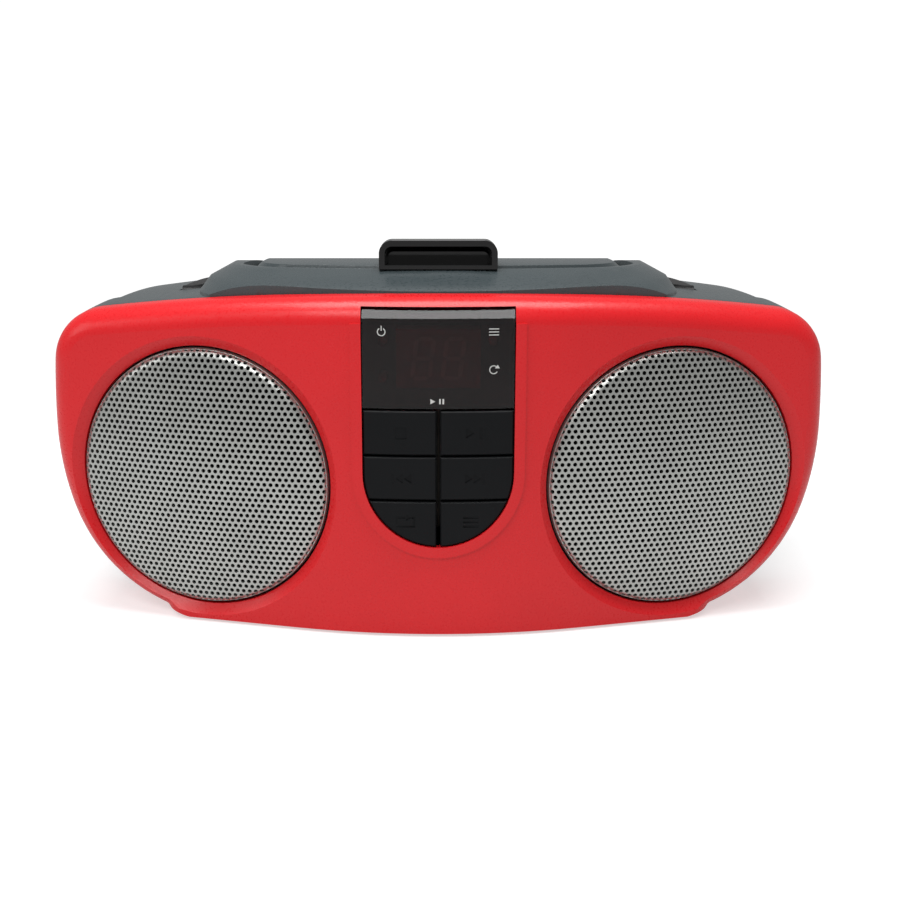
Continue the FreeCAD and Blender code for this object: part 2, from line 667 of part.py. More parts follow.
def lid_form(grow, drop):
    """Outer form of the lid, enlarged by grow and lowered by drop."""
    base = (LID_HALF + grow, LID_FRONT - grow, LID_REAR + grow, 19 + grow, 44 + grow)
    top = (LID_TOP_HALF + grow, LID_FRONT + 1.2 - grow, LID_REAR - 2 + grow, 14 + grow, 38 + grow)
    lower = deck_prism(*base, LEDGE_Z + PART_CLEAR, LID_BREAK_Z - drop)
    upper = Part.makeLoft([deck_wire(*base, LID_BREAK_Z - drop), deck_wire(*top, LID_TOP_Z + 1 - drop)], True, True)
    return join(lower, upper).common(under_fall(LID_TOP_Z - drop))


def lid_opening(grow, z0, z1):
    grow = grow + LID_GAP
    return deck_prism(LID_HALF + grow, LID_FRONT - grow, LID_REAR + grow, 19 + grow, 44 + grow, z0, z1)


def ring_form():
    """Raised moulding round the lid: a steep lower facet, then a long slope up to the lid's edge."""
    outer = (RING_HALF, RING_FRONT, RING_REAR, 34, 47)
    crease = (RING_HALF - 2.3, RING_FRONT + 10, RING_REAR - 2, 31, 45)
    grow = LID_GAP + RING_LAND
    crest = (LID_HALF + grow, LID_FRONT - grow, LID_REAR + grow, 19 + grow, 44 + grow)
    skirt = deck_prism(*outer, LEDGE_Z, DOME_Z - COVER_T)
    lower = Part.makeLoft([deck_wire(*outer, DOME_Z - COVER_T), deck_wire(*crease, DOME_Z + 1)], True, True)
    upper = Part.makeLoft([deck_wire(*crease, DOME_Z + 1), deck_wire(*crest, RING_TOP_Z + 0.5)], True, True)
    return join(skirt, lower, upper).common(under_fall(RING_TOP_Z))


def handle_band(width, front, z0=60.0):
    """Plan strip of the folded handle: two arms and a bar with round corners."""
    forms = []
    for half_width in (width / 2, -width / 2):
        half = HANDLE_HALF + half_width
        rear = HANDLE_BAR_Y + half_width
        block = box(-half, half, -DEPTH, rear, z0, TOP_LIMIT)
        corners = edges_where(block, lambda b: b.ZLength > 1 and b.YMin > 0)
        forms.append(block.makeFillet(HANDLE_CORNER + half_width, corners))
    band = forms[0].cut(forms[1])
    return band.common(box(-DEPTH, DEPTH, front, DEPTH, 0, TOP_LIMIT))


def handle_pivot():
    return vec(0, HANDLE_PIVOT_Y, dome_height(HANDLE_HALF, HANDLE_PIVOT_Y) + HANDLE_PROUD - HANDLE_H / 2)


def make_top_cover():
    cover = FRONT_CASE.cut(BEHIND_PARTING).fuse(REAR_CASE.common(BEHIND_PARTING))
    cover = cover.common(bow_solid(SEAM_DEPTH + SEAM_GAP)).cut(dome(COVER_T))
    ring = ring_form().common(bow_solid(SEAM_DEPTH + SEAM_GAP))
    below = ring.common(dome(COVER_T / 2))
    wall = lid_opening(LID_T, LEDGE_Z - FLOOR_T, DOME_Z).cut(lid_opening(0, LEDGE_Z, DOME_Z))
    wall = wall.common(dome(COVER_T / 2))
    well = rod(vec(0, WELL_Y, WELL_FLOOR - FLOOR_T), vec(0, 0, 1), WELL_R + FLOOR_T, LEDGE_Z - WELL_FLOOR + FLOOR_T)
    trough = box(-TROUGH_HALF - FLOOR_T, TROUGH_HALF + FLOOR_T, WELL_Y + WELL_R, HANDLE_BAR_Y - 8,
                 HINGE_Z - 8, DOME_Z).common(dome(COVER_T / 2))
    channel_w = HANDLE_W + 2 * CHANNEL_CLEAR
    channel_front = HANDLE_PIVOT_Y - HANDLE_H / 2 - 1.2
    channel = handle_band(channel_w + 2 * CHANNEL_WALL, channel_front - CHANNEL_WALL)
    channel = channel.common(dome(0)).cut(dome(CHANNEL_DEPTH + CHANNEL_WALL))
    grip = box(-GRIP_HALF - 1.6, GRIP_HALF + 1.6, HANDLE_BAR_Y - 6, STEP_Y - WALL, 78, TOP_LIMIT)
    grip = grip.common(dome(COVER_T / 2)).cut(dome(14))
    cover = join(cover, ring.cut(below), wall, well, trough, channel, grip)
    cover = cover.cut(lid_opening(0, LEDGE_Z, TOP_LIMIT))
    cover = cover.cut(rod(vec(0, WELL_Y, WELL_FLOOR), vec(0, 0, 1), WELL_R, 30))
    cover = cover.cut(rod(vec(0, WELL_Y, WELL_FLOOR - 5), vec(0, 0, 1), 18, 30))
    cover = cover.cut(box(-8, 8, WELL_Y - WELL_R + 1, WELL_Y, WELL_FLOOR - 5, WELL_FLOOR + 1))
    cover = cover.cut(box(-TROUGH_HALF, TROUGH_HALF, WELL_Y + WELL_R + 2.5, HINGE_Y + 9, HINGE_Z - 6, TOP_LIMIT))
    cover = cover.cut(handle_band(channel_w, channel_front).cut(dome(CHANNEL_DEPTH)))
    cover = cover.cut(box(-GRIP_HALF, GRIP_HALF, HANDLE_BAR_Y - 4.5, GRIP_REAR, 78, TOP_LIMIT).cut(dome(12)))
    for x0 in (KNUCKLE_X[0] - 2.5, KNUCKLE_X[1] + 0.5):
        rib = box(x0, x0 + 2, HINGE_Y - 4, HINGE_Y + 4, HINGE_Z - 6.5, HINGE_Z + 3)
        for piece in both_sides(rib):
            cover = cover.fuse(piece)
    for x in (-HOOK_X, HOOK_X):
        cover = cover.cut(box(x - 6, x + 6, -68, -63, LEDGE_Z - 5, LEDGE_Z + 1))
    for x, y in POST_AT:
        cover = cover.fuse(rod(vec(x, y, CHASSIS_Z - 3), vec(0, 0, 1), POST_R, WELL_FLOOR - CHASSIS_Z + 2.5))
    for side in (-1, 1):
        pin = rod(vec(side * (KNUCKLE_X[0] - 3), HINGE_Y, HINGE_Z), vec(side, 0, 0), PIN_R, 13)
        cover = cover.cut(pin)
    for pin in handle_pins():
        cover = cover.cut(pin)
    return cover


def handle_pins():
    pivot = handle_pivot()
    reach = HANDLE_W / 2 + CHANNEL_CLEAR + CHANNEL_WALL
    pin = rod(vec(HANDLE_HALF - reach, pivot.y, pivot.z), vec(1, 0, 0), PIN_R, 2 * reach)
    return both_sides(pin)


def make_handle():
    form = handle_band(HANDLE_W, HANDLE_PIVOT_Y)
    form = form.common(dome(-HANDLE_PROUD)).cut(dome(HANDLE_H - HANDLE_PROUD))
    pivot = handle_pivot()
    half = HANDLE_W / 2
    for side in (-1, 1):
        eye = rod(vec(side * HANDLE_HALF - half, pivot.y, pivot.z), vec(1, 0, 0), HANDLE_H / 2, HANDLE_W)
        form = form.fuse(eye)
    form = form.removeSplitter()
    hole = rod(vec(-DEPTH, pivot.y, pivot.z), vec(1, 0, 0), PIN_R + RUN_CLEAR, 2 * DEPTH)
    return form.cut(hole)


def make_lid():
    lid = lid_form(0, 0).cut(lid_form(-LID_T, LID_T))
    lid = lid.cut(deck_prism(LID_HALF - LID_T, LID_FRONT + LID_T, LID_REAR - LID_T, 17, 42,
                             LEDGE_Z, LEDGE_Z + LID_T))
    floor = HINGE_Z + KNUCKLE_R
    for x0, x1 in (KNUCKLE_X, (-KNUCKLE_X[1], -KNUCKLE_X[0])):
        knuckle = rod(vec(x0, HINGE_Y, HINGE_Z), vec(1, 0, 0), KNUCKLE_R, x1 - x0)
        arm = box(x0, x1, LID_REAR - LID_T - 0.5, HINGE_Y, LEDGE_Z - 1.5, floor)
        lid = lid.fuse(knuckle).fuse(arm.common(under_fall(LID_TOP_Z - LID_T / 2)))
    lid = lid.removeSplitter()
    hole = rod(vec(-DEPTH, HINGE_Y, HINGE_Z), vec(1, 0, 0), PIN_R + RUN_CLEAR, 2 * DEPTH)
    lid = lid.cut(hole)
    for x in (-HOOK_X, HOOK_X):
        hook = box(x - 5, x + 5, -66.5, -64.5, LEDGE_Z - 3, LEDGE_Z + 14)
        barb = box(x - 5, x + 5, -67.3, -66.4, LEDGE_Z - 3, LEDGE_Z - 2)
        lid = lid.fuse(join(hook, barb).cut(under_fall(LID_TOP_Z).cut(lid_form(-LID_T / 2, LID_T / 2)).common(
            box(-DEPTH, DEPTH, -DEPTH, DEPTH, LEDGE_Z + LID_T, TOP_LIMIT))))
    return lid


def make_tab():
    """Hollow lift tab on the lid's front edge, open to the front, sloping down to the rear."""
    block = box(-TAB_HALF, TAB_HALF, TAB_FRONT, TAB_REAR, TAB_BOTTOM, TAB_TOP)
    slope = FreeCAD.Rotation(vec(1, 0, 0), -16)
    wedge = box(-DEPTH, DEPTH, 0, DEPTH, 0, 30)
    wedge.Placement = FreeCAD.Placement(vec(0, TAB_FRONT + 9, TAB_TOP), slope)
    block = block.cut(wedge)
    upper = edges_where(block, lambda b: b.YLength > 5 and b.ZMax > TAB_BOTTOM + 5 and b.XLength < 1)
    block = block.makeFillet(TAB_R, upper)
    hollow = box(-TAB_HALF + TAB_WALL, TAB_HALF - TAB_WALL, TAB_FRONT - 1, TAB_FRONT + 20,
                 TAB_BOTTOM + TAB_WALL * 0.7, TAB_TOP - TAB_WALL)
    low_wedge = wedge.copy()
    low_wedge.translate(vec(0, 0, -TAB_WALL))
    hollow = hollow.cut(low_wedge)
    rounds = edges_where(hollow, lambda b: b.YLength > 5 and b.ZMax > TAB_BOTTOM + 3 and b.XLength < 1)
    hollow = hollow.makeFillet(TAB_R - TAB_WALL, rounds)
    block = block.cut(hollow)
    return block.cut(lid_form(0, 0))


# ================================================================ disc clamp and disc drive
def make_clamp_retainer():
    """Cup under the lid that holds the disc clamp by its flange and lets it turn."""
    bore = CLAMP_FLANGE_R + 0.6
    wall = tube(vec(0, WELL_Y, 99.6), vec(0, 0, 1), bore + 2, bore, 15)
    lip = tube(vec(0, WELL_Y, 99.6), vec(0, 0, 1), bore + 2, CLAMP_R + 0.4, 1.2)
    return join(wall, lip).common(lid_form(-LID_T, LID_T))


def make_clamp():
    base = SPINDLE_BOSS_TOP + PART_CLEAR
    puck = rod(vec(0, WELL_Y, base), vec(0, 0, 1), CLAMP_R, 3)
    flange = rod(vec(0, WELL_Y, 99.6 + 1.2 + PART_CLEAR), vec(0, 0, 1), CLAMP_FLANGE_R, 2.4)
    hub = rod(vec(0, WELL_Y, base + 3), vec(0, 0, 1), 6, 4)
    return join(puck, flange, hub)


def make_turntable():
    platform = rod(vec(0, WELL_Y, PLATFORM_Z - 2), vec(0, 0, 1), PLATFORM_R, 2)
    neck = rod(vec(0, WELL_Y, CHASSIS_TOP + 13.5 + PART_CLEAR), vec(0, 0, 1), 6,
               PLATFORM_Z - 2 - CHASSIS_TOP - 13.5 - PART_CLEAR)
    boss = rod(vec(0, WELL_Y, PLATFORM_Z), vec(0, 0, 1), SPINDLE_BOSS_R, SPINDLE_BOSS_TOP - PLATFORM_Z)
    boss = boss.makeChamfer(1.2, edges_where(boss, lambda b: b.ZMin > SPINDLE_BOSS_TOP - 0.01))
    shaft = rod(vec(0, WELL_Y, CHASSIS_TOP + 8), vec(0, 0, 1), 1.0, 10)
    return join(platform, neck, boss, shaft)


def make_spindle_motor():
    can = rod(vec(0, WELL_Y, CHASSIS_TOP), vec(0, 0, 1), MOTOR_R, 13.5)
    return can.cut(rod(vec(0, WELL_Y, CHASSIS_TOP + 7.7), vec(0, 0, 1), 1.0 + RUN_CLEAR, 10))


def make_chassis():
    front = WELL_Y - WELL_R - 1
    plate = box(-CHASSIS_HALF, CHASSIS_HALF, front, 36, CHASSIS_Z, CHASSIS_TOP)
    for x, y in POST_AT:
        plate = plate.cut(rod(vec(x, y, CHASSIS_Z - 1), vec(0, 0, 1), GROMMET_R, 5))
    for x in (-ROD_X, ROD_X):
        for y in (front, -3.0):
            plate = plate.fuse(box(x - 3, x + 3, y, y + 2.5, CHASSIS_TOP, ROD_Z + 3))
    gear_x = gear_place().x
    plate = plate.fuse(rod(vec(gear_x, GEAR_Y, CHASSIS_TOP), vec(0, 0, 1), PIN_R, 9.5))
    for guide in guide_rods():
        plate = plate.cut(guide)
    pinion = pinion_place()
    return plate.cut(rod(vec(pinion.x, pinion.y, CHASSIS_Z - 1), vec(0, 0, 1), 1.6, 10))


def guide_rods():
    front = WELL_Y - WELL_R - 1
    guide = rod(vec(ROD_X, front, ROD_Z), vec(0, 1, 0), PIN_R, -0.5 - front)
    return both_sides(guide)


def make_grommet(x, y):
    body = tube(vec(x, y, CHASSIS_Z - 1.5), vec(0, 0, 1), GROMMET_R, POST_R, CHASSIS_T + 3)
    lower = tube(vec(x, y, CHASSIS_Z - 1.5), vec(0, 0, 1), GROMMET_R + 1, POST_R, 1.5)
    upper = tube(vec(x, y, CHASSIS_TOP), vec(0, 0, 1), GROMMET_R + 1, POST_R, 1.5)
    return join(body, lower, upper)


def make_sled():
    top = WELL_FLOOR - FLOOR_T - 1.0
    body = box(-RACK_X[0], RACK_X[0], SLED_FRONT, SLED_REAR, ROD_Z - 4.5, top)
    rack = box(RACK_X[0] - 0.5, RACK_X[1] - 1, SLED_FRONT, SLED_FRONT + SLED_TRAVEL + 12, ROD_Z - 4.5, ROD_Z - 0.8)
    pitch = 2 * math.pi * GEAR_PINION_R / 16
    count = int((SLED_TRAVEL + 11) / pitch)
    for i in range(count):
        y = SLED_FRONT + 1 + i * pitch
        rack = rack.fuse(box(RACK_X[1] - 1.2, RACK_X[1], y, y + pitch / 2, ROD_Z - 4.5, ROD_Z - 0.8))
    sled = join(body, rack)
    for x in (-ROD_X, ROD_X):
        sled = sled.cut(rod(vec(x, -DEPTH, ROD_Z), vec(0, 1, 0), PIN_R + RUN_CLEAR, 2 * DEPTH))
    return sled.cut(rod(vec(0, LENS_Y, top - 1), vec(0, 0, 1), 4.0 + RUN_CLEAR, 5))


def make_laser_lens():
    top = WELL_FLOOR - FLOOR_T - 1.0
    barrel = rod(vec(0, LENS_Y, top - 1), vec(0, 0, 1), 4.0, 3.4)
    bulge = Part.makeSphere(5, vec(0, LENS_Y, top - 1.2)).common(rod(vec(0, LENS_Y, top), vec(0, 0, 1), 2.6, 8))
    return join(barrel, bulge)


def gear_place():
    return vec(RACK_X[1] + GEAR_PINION_R + MESH_GAP, GEAR_Y, CHASSIS_TOP)


def pinion_place():
    return gear_place() + vec(0, GEAR_WHEEL_R + MOTOR_PINION_R + MESH_GAP, 0)


def toothed_disc(centre, radius, teeth, z0, z1):
    """Gear whose tooth tips end at radius."""
    gear = rod(vec(centre.x, centre.y, z0), vec(0, 0, 1), radius - 0.8, z1 - z0)
    half = math.pi * radius / teeth / 2
    for i in range(teeth):
        tooth = box(radius - 1.2, radius, -half, half, z0, z1)
        tooth.rotate(vec(0, 0, 0), vec(0, 0, 1), 360.0 * i / teeth)
        tooth.translate(vec(centre.x, centre.y, 0))
        gear = gear.fuse(tooth)
    return gear.removeSplitter()


def make_sled_gear():
    place = gear_place()
    wheel = toothed_disc(place, GEAR_WHEEL_R, 34, CHASSIS_TOP + 1, CHASSIS_TOP + 3.5)
    pinion = toothed_disc(place, GEAR_PINION_R, 16, CHASSIS_TOP + 3.5, ROD_Z - 0.5)
    bore = rod(vec(place.x, place.y, CHASSIS_Z), vec(0, 0, 1), PIN_R + RUN_CLEAR, 30)
    return join(wheel, pinion).cut(bore)


def make_motor_pinion():
    place = pinion_place()
    gear = toothed_disc(place, MOTOR_PINION_R, 8, CHASSIS_TOP + 0.8, CHASSIS_TOP + 4)
    shaft = rod(vec(place.x, place.y, CHASSIS_Z - 9), vec(0, 0, 1), 1.0, CHASSIS_T + 10)
    return join(gear, shaft)


def make_sled_motor():
    place = pinion_place()
    can = rod(vec(place.x, place.y, CHASSIS_Z - 14), vec(0, 0, 1), 7.5, 14)
    return can.cut(rod(vec(place.x, place.y, CHASSIS_Z - 9.3), vec(0, 0, 1), 1.0 + RUN_CLEAR, 12))


# ================================================================ electronics and controls
MAIN_BOARD_Z = 8.0
BOARD_FEET = ((-62.0, -52.0), (62.0, -52.0), (-62.0, 34.0), (62.0, 34.0))


def make_control_board():
    return box(-BOARD_HALF, BOARD_HALF, BOARD_FRONT_Y, BOARD_FRONT_Y + BOARD_T, BOARD_Z[0], BOARD_Z[1])


def tact_switch(x, z):
    base = box(x - 3, x + 3, BOARD_FRONT_Y - SWITCH_H + 1, BOARD_FRONT_Y, z - 3, z + 3)
    return join(base, rod(vec(x, BOARD_FRONT_Y - SWITCH_H, z), vec(0, 1, 0), 1.7, 2))


def make_led(x, z):
    length = 6.0
    body = rod(vec(x, BOARD_FRONT_Y - length, z), vec(0, 1, 0), LED_R, length)
    return join(body, Part.makeSphere(LED_R, vec(x, BOARD_FRONT_Y - length, z)))


def make_display():
    return box(-DISPLAY_HALF, DISPLAY_HALF, BOARD_FRONT_Y - DISPLAY_T, BOARD_FRONT_Y, *DISPLAY_Z)


def side_knob(side, radius, ribs):
    """Round knob on a side wall with ribs round its rim, turning on its own shaft."""
    x = side * (REAR_HALF + PART_CLEAR)
    axis = vec(side, 0, 0)
    centre = vec(x, SIDE_KNOB_Y, SIDE_KNOB_Z)
    cap = rod(centre, axis, radius - 0.6, KNOB_T)
    outer = edges_where(cap, lambda b: b.XLength < 0.01 and abs(abs(b.XMin) - abs(x)) > 1)
    cap = cap.makeFillet(1.0, outer)
    for i in range(ribs):
        angle = 2 * math.pi * i / ribs
        reach = radius - 0.9
        at = centre + vec(0, reach * math.cos(angle), reach * math.sin(angle))
        cap = cap.fuse(rod(at, axis, 0.8, KNOB_T - 1.2))
    shaft = rod(vec(side * (REAR_HALF - 9), SIDE_KNOB_Y, SIDE_KNOB_Z), axis, KNOB_SHAFT_R, 10)
    return join(cap, shaft)


def side_body(side, half, depth):
    """Box of a control mounted inside a side wall, with a bore for the knob's shaft."""
    wall = REAR_HALF - WALL - PART_CLEAR
    x0, x1 = sorted((side * wall, side * (wall - depth)))
    body = box(x0, x1, SIDE_KNOB_Y - half, SIDE_KNOB_Y + half, SIDE_KNOB_Z - half, SIDE_KNOB_Z + half)
    body = body.common(outline_solid(REAR_HALF, WALL + PART_CLEAR))
    return body.cut(rod(vec(side * (REAR_HALF - 9.3), SIDE_KNOB_Y, SIDE_KNOB_Z), vec(side, 0, 0),
                        KNOB_SHAFT_R + RUN_CLEAR, 30))


def slide_switch(side):
    wall = REAR_HALF - WALL - PART_CLEAR
    reach = SLIDER_HALF + SLIDER_TRAVEL / 2 + 2
    x0, x1 = sorted((side * wall, side * (wall - 7)))
    body = box(x0, x1, SLIDER_Y - reach, SLIDER_Y + reach, SIDE_KNOB_Z - 4, SIDE_KNOB_Z + 4)
    inner = SLIDER_HALF + SLIDER_TRAVEL / 2 + PART_CLEAR
    x0, x1 = sorted((side * (wall + 1), side * (wall - 4)))
    return body.cut(box(x0, x1, SLIDER_Y - inner, SLIDER_Y + inner, SIDE_KNOB_Z - 2, SIDE_KNOB_Z + 2))


def make_slider(side):
    x0, x1 = sorted((side * (REAR_HALF - WALL - 4), side * (REAR_HALF + 2)))
    y = SLIDER_Y - SLIDER_TRAVEL / 2
    knob = box(x0, x1, y - SLIDER_HALF, y + SLIDER_HALF, SIDE_KNOB_Z - 1.7, SIDE_KNOB_Z + 1.7)
    for d in (-1.5, 0.0, 1.5):
        x2, x3 = sorted((side * (REAR_HALF + 1.5), side * (REAR_HALF + 3)))
        knob = knob.cut(box(x2, x3, y + d - 0.3, y + d + 0.3, SIDE_KNOB_Z - 3, SIDE_KNOB_Z + 3))
    return knob


def make_main_board():
    board = box(-70, 70, -60, BAY_FRONT - BAY_WALL - 1, MAIN_BOARD_Z, MAIN_BOARD_Z + 1.6)
    for x, y, w, d, h in ((20, -30, 8, 8, 3), (40, -5, 10, 6, 12), (-20, -35, 12, 12, 2), (55, 20, 6, 6, 16)):
        board = board.fuse(box(x - w, x + w, y - d, y + d, MAIN_BOARD_Z + 1, MAIN_BOARD_Z + 1.6 + h))
    return board


def make_transformer():
    base = MAIN_BOARD_Z + 1.6
    core = box(-52, -10, 2, 38, base, base + 34)
    coil = box(-46, -16, -4, 42, base + 8, base + 26)
    return join(core, coil)


def make_inlet():
    x, z = INLET_AT
    body = box(x - 11, x + 11, REAR_Y - 20, REAR_Y - 0.5, z - 7, z + 7)
    slot = box(x - 7.5, x + 7.5, REAR_Y - 13, REAR_Y + 1, z - 4, z + 4)
    ends = edges_where(slot, lambda b: b.YLength > 5)
    body = body.cut(slot.makeFillet(3.8, ends))
    for side in (-1, 1):
        body = body.fuse(rod(vec(x + side * 4.6, REAR_Y - 14, z), vec(0, 1, 0), 1.2, 9))
    return body


def make_jack():
    x, z = JACK_AT
    body = rod(vec(x, REAR_Y - 18, z), vec(0, 1, 0), 4.0, 17.5)
    nut = rod(vec(x, REAR_Y - WALL - 2, z), vec(0, 1, 0), 5.5, 2)
    return join(body, nut).cut(rod(vec(x, REAR_Y - 14, z), vec(0, 1, 0), JACK_R, 20))


def make_screw(x, z):
    head = rod(vec(x, 96, z), vec(0, 1, 0), 3.4, 2.2)
    head = head.cut(box(x - 2.2, x + 2.2, 97.4, 99, z - 0.4, z + 0.4))
    head = head.cut(box(x - 0.4, x + 0.4, 97.4, 99, z - 2.2, z + 2.2))
    return join(head, rod(vec(x, 84.5, z), vec(0, 1, 0), PIN_R, 12))


# ================================================================ antenna
def make_antenna():
    """Knuckle on the set-in rear wall and three nested sections lying along it."""
    x, z = ANTENNA_AT
    y = ANTENNA_Y
    base_y = STEP_Y + PART_CLEAR
    pad = rod(vec(x, base_y, z), vec(0, 1, 0), 5.0, 1.2)
    stud = rod(vec(x, STEP_Y - WALL - 1, z), vec(0, 1, 0), 1.5, WALL + 2)
    ears = []
    for z0 in (z - 3.9, z + 2.3):
        ear = box(x - 3.2, x + 3.2, base_y + 0.6, y, z0, z0 + 1.6)
        ears.append(ear.fuse(rod(vec(x, y, z0), vec(0, 0, 1), 3.2, 1.6)))
    pin = rod(vec(x, y, z - 3.9), vec(0, 0, 1), 1.0, 7.8)
    knuckle = join(pad, stud, ears[0], ears[1], pin)

    tongue = box(x - 6, x, y - 2.4, y + 2.4, z - 2.0, z + 2.0)
    tongue = tongue.fuse(rod(vec(x, y, z - 2.0), vec(0, 0, 1), 2.4, 4.0))
    barrel = rod(vec(x - 5, y, z), vec(-1, 0, 0), ANTENNA_R, ANTENNA_L)
    outer = join(tongue, barrel).cut(rod(vec(x, y, z - 5), vec(0, 0, 1), 1.0 + RUN_CLEAR, 10))
    outer = outer.cut(rod(vec(x - 10, y, z), vec(-1, 0, 0), MIDDLE_R + RUN_CLEAR, ANTENNA_L))

    end_x = x - 5 - ANTENNA_L
    middle = rod(vec(end_x - 0.5, y, z), vec(1, 0, 0), MIDDLE_R, ANTENNA_L - 8)
    middle = middle.cut(rod(vec(end_x - 1, y, z), vec(1, 0, 0), TIP_R + RUN_CLEAR, ANTENNA_L - 12))
    tip = rod(vec(end_x - 1.5, y, z), vec(1, 0, 0), TIP_R, ANTENNA_L - 14)
    cap = rod(vec(end_x - 6, y, z), vec(1, 0, 0), ANTENNA_R, 5)
    cap = cap.makeFillet(1.6, edges_where(cap, lambda b: b.XMax < end_x - 5.9))
    return knuckle, outer, middle, join(tip, cap)


# ================================================================ build
os.makedirs("parts", exist_ok=True)

TOP_ZONE = BEHIND_SEAM.cut(dome(COVER_T))

save("front_shell", make_front_shell())
save("rear_cabinet", make_rear_cabinet())
save("top_cover", make_top_cover())
save("rubber_feet", *[rod(vec(x, y, 0), vec(0, 0, 1), FOOT_R, BASE_Z) for x, y in FOOT_AT])
save("display_lens", make_lens())
save("led_display", make_display())
save("control_board", make_control_board())
save("indicator_leds", *[make_led(x, z) for x, z in LED_AT])

switches = []
for name, row, side in (("stop", 0, -1), ("play", 0, 1), ("back", 1, -1), ("forward", 1, 1),
                        ("repeat", 2, -1), ("program", 2, 1)):
    key, key_x, key_z = make_key(name, row, side)
    save("key_" + name, key)
    switches.append(tact_switch(key_x, key_z))
save("key_switches", *switches)

grille = make_grille()
frame, cone, magnet = make_speaker()
for label, shape in (("grille", grille), ("speaker_frame", frame), ("speaker_cone", cone), ("speaker_magnet", magnet)):
    save(label + "_right", shape)
    save(label + "_left", mirror_x(shape))

save("cd_lid", make_lid())
save("lid_tab", make_tab())
save("clamp_retainer", make_clamp_retainer())
save("disc_clamp", make_clamp())
hinge_pin = rod(vec(KNUCKLE_X[0] - 2.5, HINGE_Y, HINGE_Z), vec(1, 0, 0), PIN_R, 12)
save("lid_hinge_pins", *both_sides(hinge_pin))

save("cd_chassis", make_chassis())
save("chassis_grommets", *[make_grommet(x, y) for x, y in POST_AT])
save("spindle_motor", make_spindle_motor())
save("turntable", make_turntable())
save("laser_sled", make_sled())
save("laser_lens", make_laser_lens())
save("guide_rods", *guide_rods())
save("sled_motor", make_sled_motor())
save("motor_pinion", make_motor_pinion())
save("sled_gear", make_sled_gear())

save("carry_handle", make_handle())
save("handle_pins", *handle_pins())

save("volume_knob", side_knob(-1, VOLUME_R, 24))
save("volume_pot", side_body(-1, 8, 9))
save("tuning_knob", side_knob(1, TUNING_R, 36))
save("tuning_capacitor", side_body(1, 10, 14))
save("slide_switches", slide_switch(-1), slide_switch(1))
save("function_slider", make_slider(-1))
save("band_slider", make_slider(1))

save("main_board", make_main_board())
save("transformer", make_transformer())
save("mains_inlet", make_inlet())
save("audio_jack", make_jack())
save("battery_door", make_battery_door())
save("battery_contacts", *make_contacts())
save("case_screws", *[make_screw(x, z) for x, z in SCREW_AT])

knuckle, outer, middle, tip = make_antenna()
save("antenna_knuckle", knuckle)
save("antenna_outer", outer)
save("antenna_middle", middle)
save("antenna_tip", tip)
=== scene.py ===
"""Looks of the portable disc player: grilles, display, printed marks, materials, light and camera."""
import json
import math

import bmesh
import bpy
from mathutils import Matrix, Vector


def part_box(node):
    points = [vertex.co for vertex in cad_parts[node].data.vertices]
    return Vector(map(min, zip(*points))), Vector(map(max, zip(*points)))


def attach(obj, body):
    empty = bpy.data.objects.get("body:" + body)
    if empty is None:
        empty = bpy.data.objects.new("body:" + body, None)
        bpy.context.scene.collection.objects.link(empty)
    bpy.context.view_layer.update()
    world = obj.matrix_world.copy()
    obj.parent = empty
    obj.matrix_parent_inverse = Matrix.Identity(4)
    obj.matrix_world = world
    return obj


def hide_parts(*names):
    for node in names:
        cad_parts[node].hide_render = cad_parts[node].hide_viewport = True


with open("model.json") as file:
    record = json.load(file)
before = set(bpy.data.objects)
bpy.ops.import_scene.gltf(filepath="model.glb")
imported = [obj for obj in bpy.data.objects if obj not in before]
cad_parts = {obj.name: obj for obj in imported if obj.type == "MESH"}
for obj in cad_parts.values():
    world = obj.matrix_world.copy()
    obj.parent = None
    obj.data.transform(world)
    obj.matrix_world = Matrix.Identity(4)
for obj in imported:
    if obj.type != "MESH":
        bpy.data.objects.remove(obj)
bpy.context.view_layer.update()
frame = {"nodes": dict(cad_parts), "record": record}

NODES = frame["nodes"]
MM = 0.001

# ---------------------------------------------------------------- places, in metres
YAW = math.radians(14.3)              # each flat half of the front turns back by this
BOW_R = 180.0 * MM                    # plan radius of the middle of the front
FRONT_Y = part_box("front_shell")[0][1] + 0.8 * MM
SPEAKER_X = 75.0 * MM
SPEAKER_Z = 47.9 * MM
LENS_PROUD = 0.1 * MM

# ---------------------------------------------------------------- grille
GRILLE_R = 41.6 * MM                  # outer radius of the sheet's turned-down edge
GRILLE_T = 0.8 * MM
ROLL_R = 3.4 * MM                     # radius of the turned-down edge
ROLL_Z = -3.6 * MM                    # centre of that radius, below the front's surface
ROLL_START = math.radians(8.0)        # slope of the dome where the edge starts to turn down
EDGE_DROP = 0.2 * MM                  # straight part below the rounding
BAND_START = 42.0 * MM                # plain edge, measured along the sheet from its middle
CLOTH_R = 42.2 * MM
CLOTH_Z = (-3.96 * MM, -3.82 * MM)
HOLE_PITCH = 2.0 * MM
HOLE_R = 0.66 * MM
HOLE_SIDES = 12
PERFORATED_R = 42.5 * MM               # along the sheet


# ---------------------------------------------------------------- printed marks and digits
MARK_T = 0.025 * MM
MARK_STROKE = 0.28 * MM
MARK_LIFT = 0.03 * MM                 # clear of the lens
POWER_AT = (-17.0 * MM, 96.6 * MM)
LIST_AT = (16.6 * MM, 96.6 * MM)
LOOP_AT = (16.6 * MM, 85.2 * MM)
PLAY_AT = (0.0, 75.6 * MM)
DIGIT_W = 6.6 * MM
DIGIT_H = 13.4 * MM
DIGIT_X = 4.6 * MM                    # centre of each digit from the middle
DIGIT_BAR = 1.35 * MM
DIGIT_GAP = 0.35 * MM
DIGIT_SLANT = math.tan(math.radians(7))
DIGIT_PROUD = 0.08 * MM
DIGIT_T = 0.2 * MM

